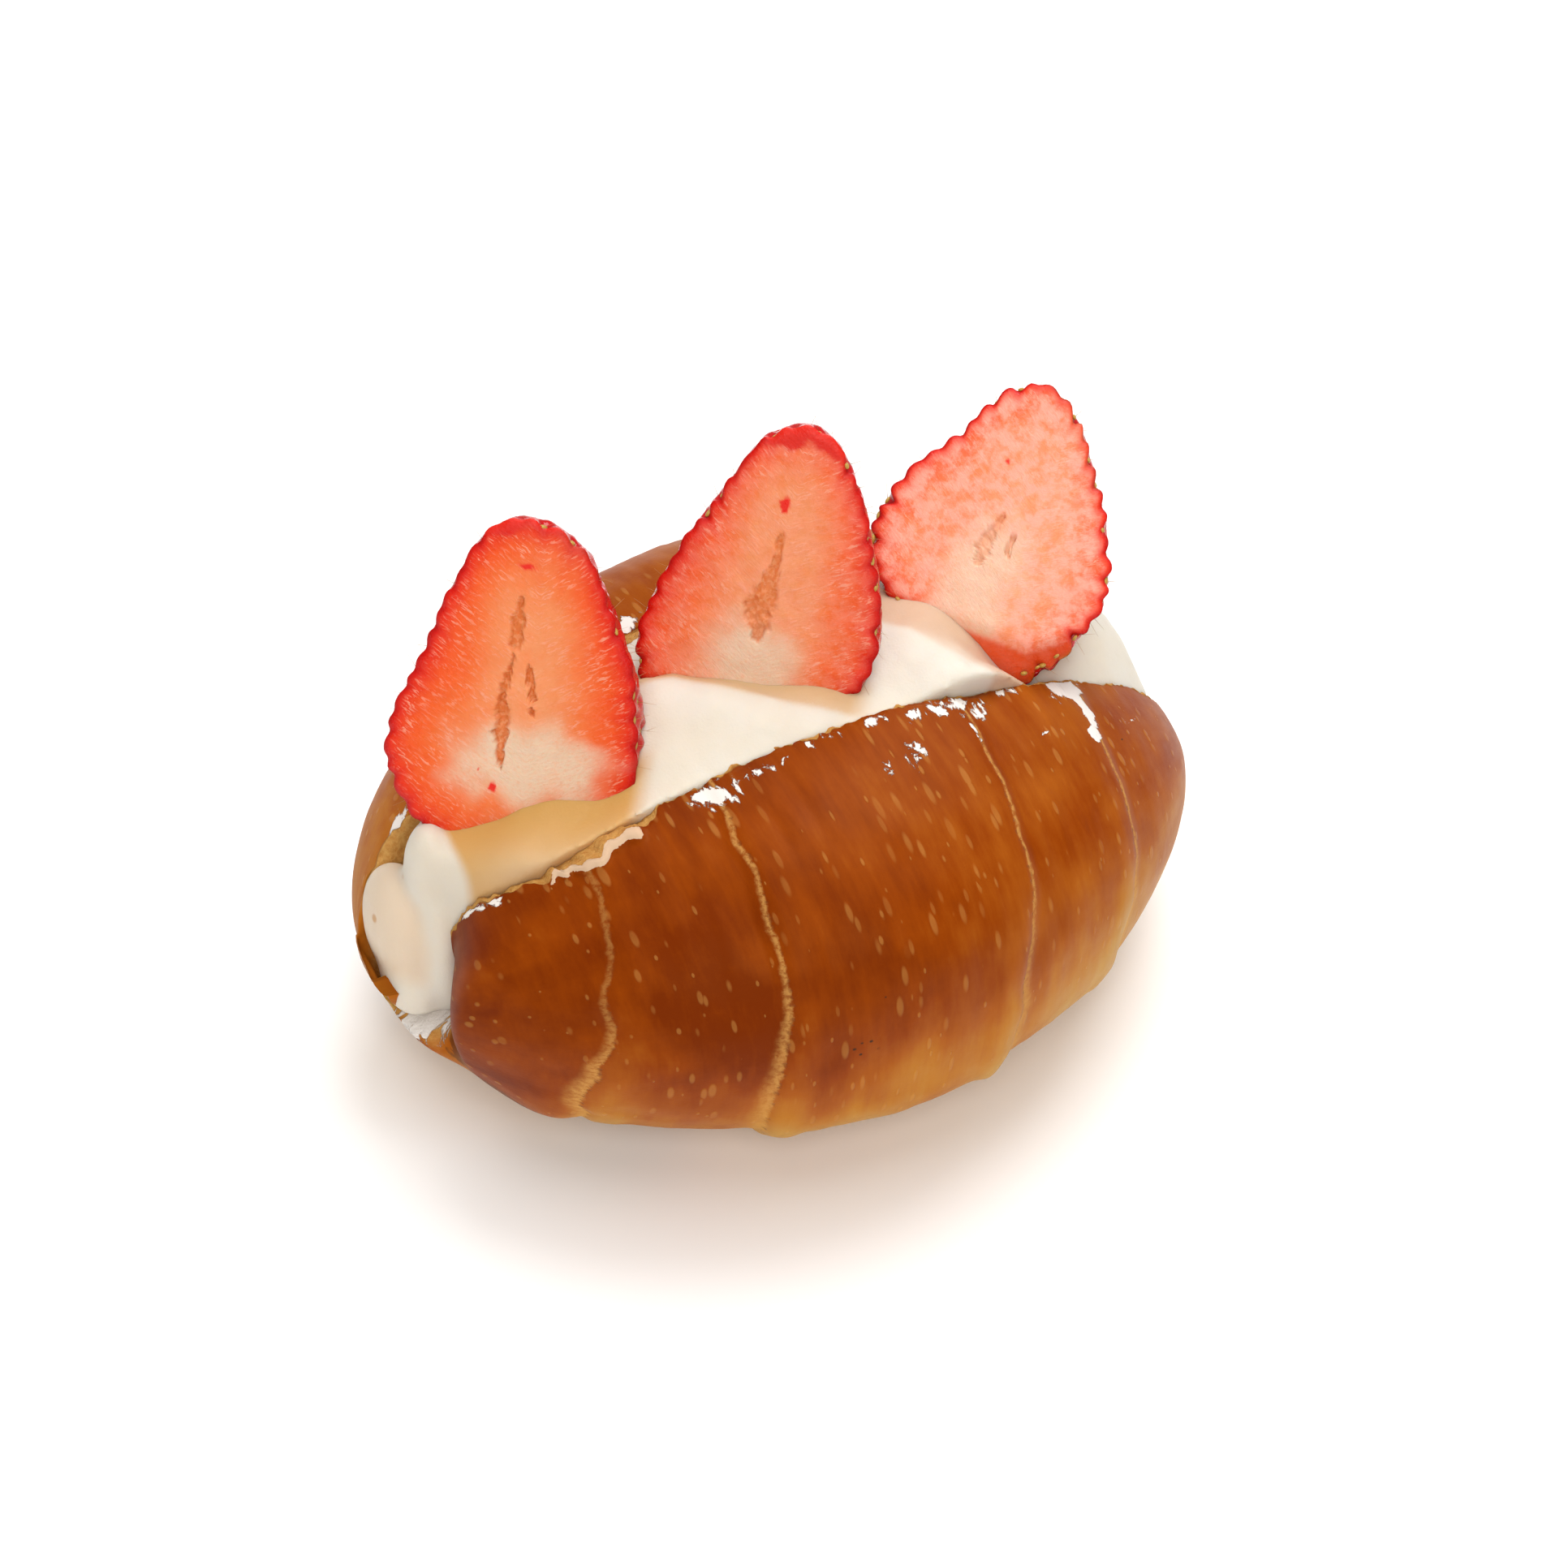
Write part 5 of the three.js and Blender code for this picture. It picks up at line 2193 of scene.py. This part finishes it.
BERRIES = (
    BerryShape(
        name="strawberry_left",
        base=(-41.0, -1.8, 52.0), yaw=-33.0, lean=22.0, roll=4.0, depth=14.5,
        outline=(
            (-1.6, 39.6), (-7.6, 37.2), (-11.6, 29.5), (-15.2, 19.5), (-18.8, 9.2), (-19.0, 2.2),
            (-15.6, -3.8), (-9.0, -9.0), (3.0, -7.5), (12.5, -3.4), (16.4, 4.0), (16.8, 11.5),
            (13.8, 21.0), (9.4, 29.5), (5.6, 36.4),
        ),
        slits=(
            Slit(((-2.3, 28.6), (-2.4, 25.4), (-2.4, 22.0)), (0.3, 1.3, 1.5)),
            Slit(((-2.6, 20.6), (-3.1, 17.5), (-3.6, 15.2)), (0.5, 1.0, 0.9)),
            Slit(
                ((-3.5, 15.0), (-3.5, 12.4), (-3.4, 8.7), (-3.4, 5.8), (-3.2, 4.0)),
                (0.5, 1.5, 1.9, 1.1, 0.3),
            ),
            Slit(((-0.6, 19.1), (0.0, 16.8), (0.6, 14.4)), (0.4, 0.9, 0.6)),
            Slit(((0.3, 13.1), (0.6, 12.2)), (0.3, 0.5)),
        ),
        spots=(
            Spot(-1.8, 33.2, 1.0, 0.42), Spot(-4.0, 1.1, 0.45, 0.65), Spot(-6.2, 3.2, 0.22, 0.26),
        ),
        white=(0.5, 4.5, 10.5, 6.5), paleness_and_sheen=PalenessAndSheen.RED, seed=5, flank=1.7, cap=37.6,
    ),
    BerryShape(
        name="strawberry_middle",
        base=(-7.5, -3.0, 59.0), yaw=-33.0, lean=22.0, roll=12.0, depth=14.5,
        outline=(
            (-0.4, 39.0), (-5.6, 36.2), (-9.0, 29.2), (-12.4, 20.8), (-15.4, 11.0), (-16.0, 3.0),
            (-13.0, -4.0), (-5.0, -7.0), (5.0, -6.2), (13.0, -2.4), (16.8, 4.2), (17.6, 11.0),
            (15.0, 19.6), (11.2, 27.0), (7.4, 33.8), (4.0, 37.8),
        ),
        slits=(
            Slit(
                ((-0.4, 23.1), (-0.1, 19.1), (-0.3, 16.0), (-0.7, 13.0), (-0.6, 10.5), (0.1, 7.3)),
                (0.5, 1.2, 2.4, 4.0, 3.0, 0.6), 1.0,
            ),
        ),
        spots=(Spot(-0.8, 27.7, 0.65, 1.2),),
        white=(-0.5, 4.0, 8.0, 6.5), paleness_and_sheen=PalenessAndSheen.PEACH, seed=9, flank=1.2, cap=35.6,
    ),
    BerryShape(
        name="strawberry_right",
        base=(27.0, -8.2, 56.8), yaw=-38.0, lean=48.0, roll=14.0, depth=14.0,
        outline=(
            (-5.6, 39.2), (-10.8, 35.8), (-14.2, 28.2), (-18.4, 21.6), (-21.2, 13.4), (-18.6, 6.0),
            (-11.0, 1.0), (-2.4, -2.6), (5.0, -2.4), (10.6, 2.4), (13.6, 9.6), (14.0, 15.4),
            (11.2, 21.8), (8.2, 27.0), (4.4, 32.4), (0.2, 37.2),
        ),
        slits=(
            Slit(((-3.8, 19.5), (-4.6, 16.0), (-4.8, 12.0)), (0.8, 1.8, 1.2), 1.0),
            Slit(((-1.6, 17.0), (-1.4, 14.6)), (0.6, 0.9), 1.0),
        ),
        spots=(Spot(-6.2, 27.0, 0.5, 0.35),),
        white=(-3.6, 9.0, 6.0, 10.0), paleness_and_sheen=PalenessAndSheen.VEILED, seed=14,
        heel=(3.6, 0.75, 0.9), dimple=1.5,
    ),
)


@dataclass
class FilledRoll:
    """The whole object, assembled in millimetres and moved into the frame."""

    shape: RollShape = field(default_factory=RollShape)

    def settle(self, made: Object) -> Object:
        """Turns a piece's millimetres into metres of the frame.

        Args:
            made: the piece.

        Returns:
            The same piece.
        """
        low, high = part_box("bread_roll")
        u = np.linspace(-1.0, 1.0, 801)
        full = self.shape.fullness(u)
        front = (self.shape.middle(u) - self.shape.front_depth * full).min()
        reach = self.shape.half_opening(np.array(self.shape.waist))
        back = (self.shape.middle(u) + self.shape.back_depth * full).max()
        middle = 0.5 * (front - reach + back + reach)
        along, across = (low.x + high.x) / 2, (low.y + high.y) / 2
        move = Vector((along, across - middle * MM, low.z - self.shape.settle * MM))
        made.data.transform(Matrix.Translation(move) @ Matrix.Scale(MM, 4))
        return made

    def build(self) -> None:
        """Builds, settles and hands over every piece."""
        crust = self.settle(BreadRoll(self.shape).build(CrustFinish().build()))
        hand_over(crust, "bread_roll")
        cream = self.settle(CreamFilling(self.shape).build(CreamFinish().build(), BERRIES))
        hand_over(cream, "whipped_cream")
        achene = PlainFinish("achene", (0.46, 0.27, 0.045, 1.0), 0.38).build()
        hair = PlainFinish("achene_hair", (0.42, 0.20, 0.07, 1.0), 0.5).build()
        for shape in BERRIES:
            node = shape.name.replace("strawberry_", "strawberry_half_")
            finish = BerryFinish(paleness_and_sheen=shape.paleness_and_sheen, name=shape.name + "_flesh").build()
            half, seats = StrawberryHalf(shape).build(finish)
            self.settle(half)
            self.settle(seats)
            hand_over(half, node)
            seeds = Scatter(Sprig.ACHENE, 1.35 * MM, 0.95 * MM, seed=shape.seed, tilt=0.15)
            hairs = Scatter(Sprig.HAIR, 2.4 * MM, 0.07 * MM, 0.55, 0.7, shape.seed + 1)
            hand_over(seeds.grow(seats, shape.name + "_achenes", achene), node)
            hand_over(hairs.grow(seats, shape.name + "_hairs", hair), node)
            bpy.data.objects.remove(seats)


def main() -> None:
    """Builds the roll and its studio."""
    logging.basicConfig(level=logging.INFO, format="%(name)s: %(message)s")
    FilledRoll().build()
    Studio().build()


if __name__ == "__main__":
    main()
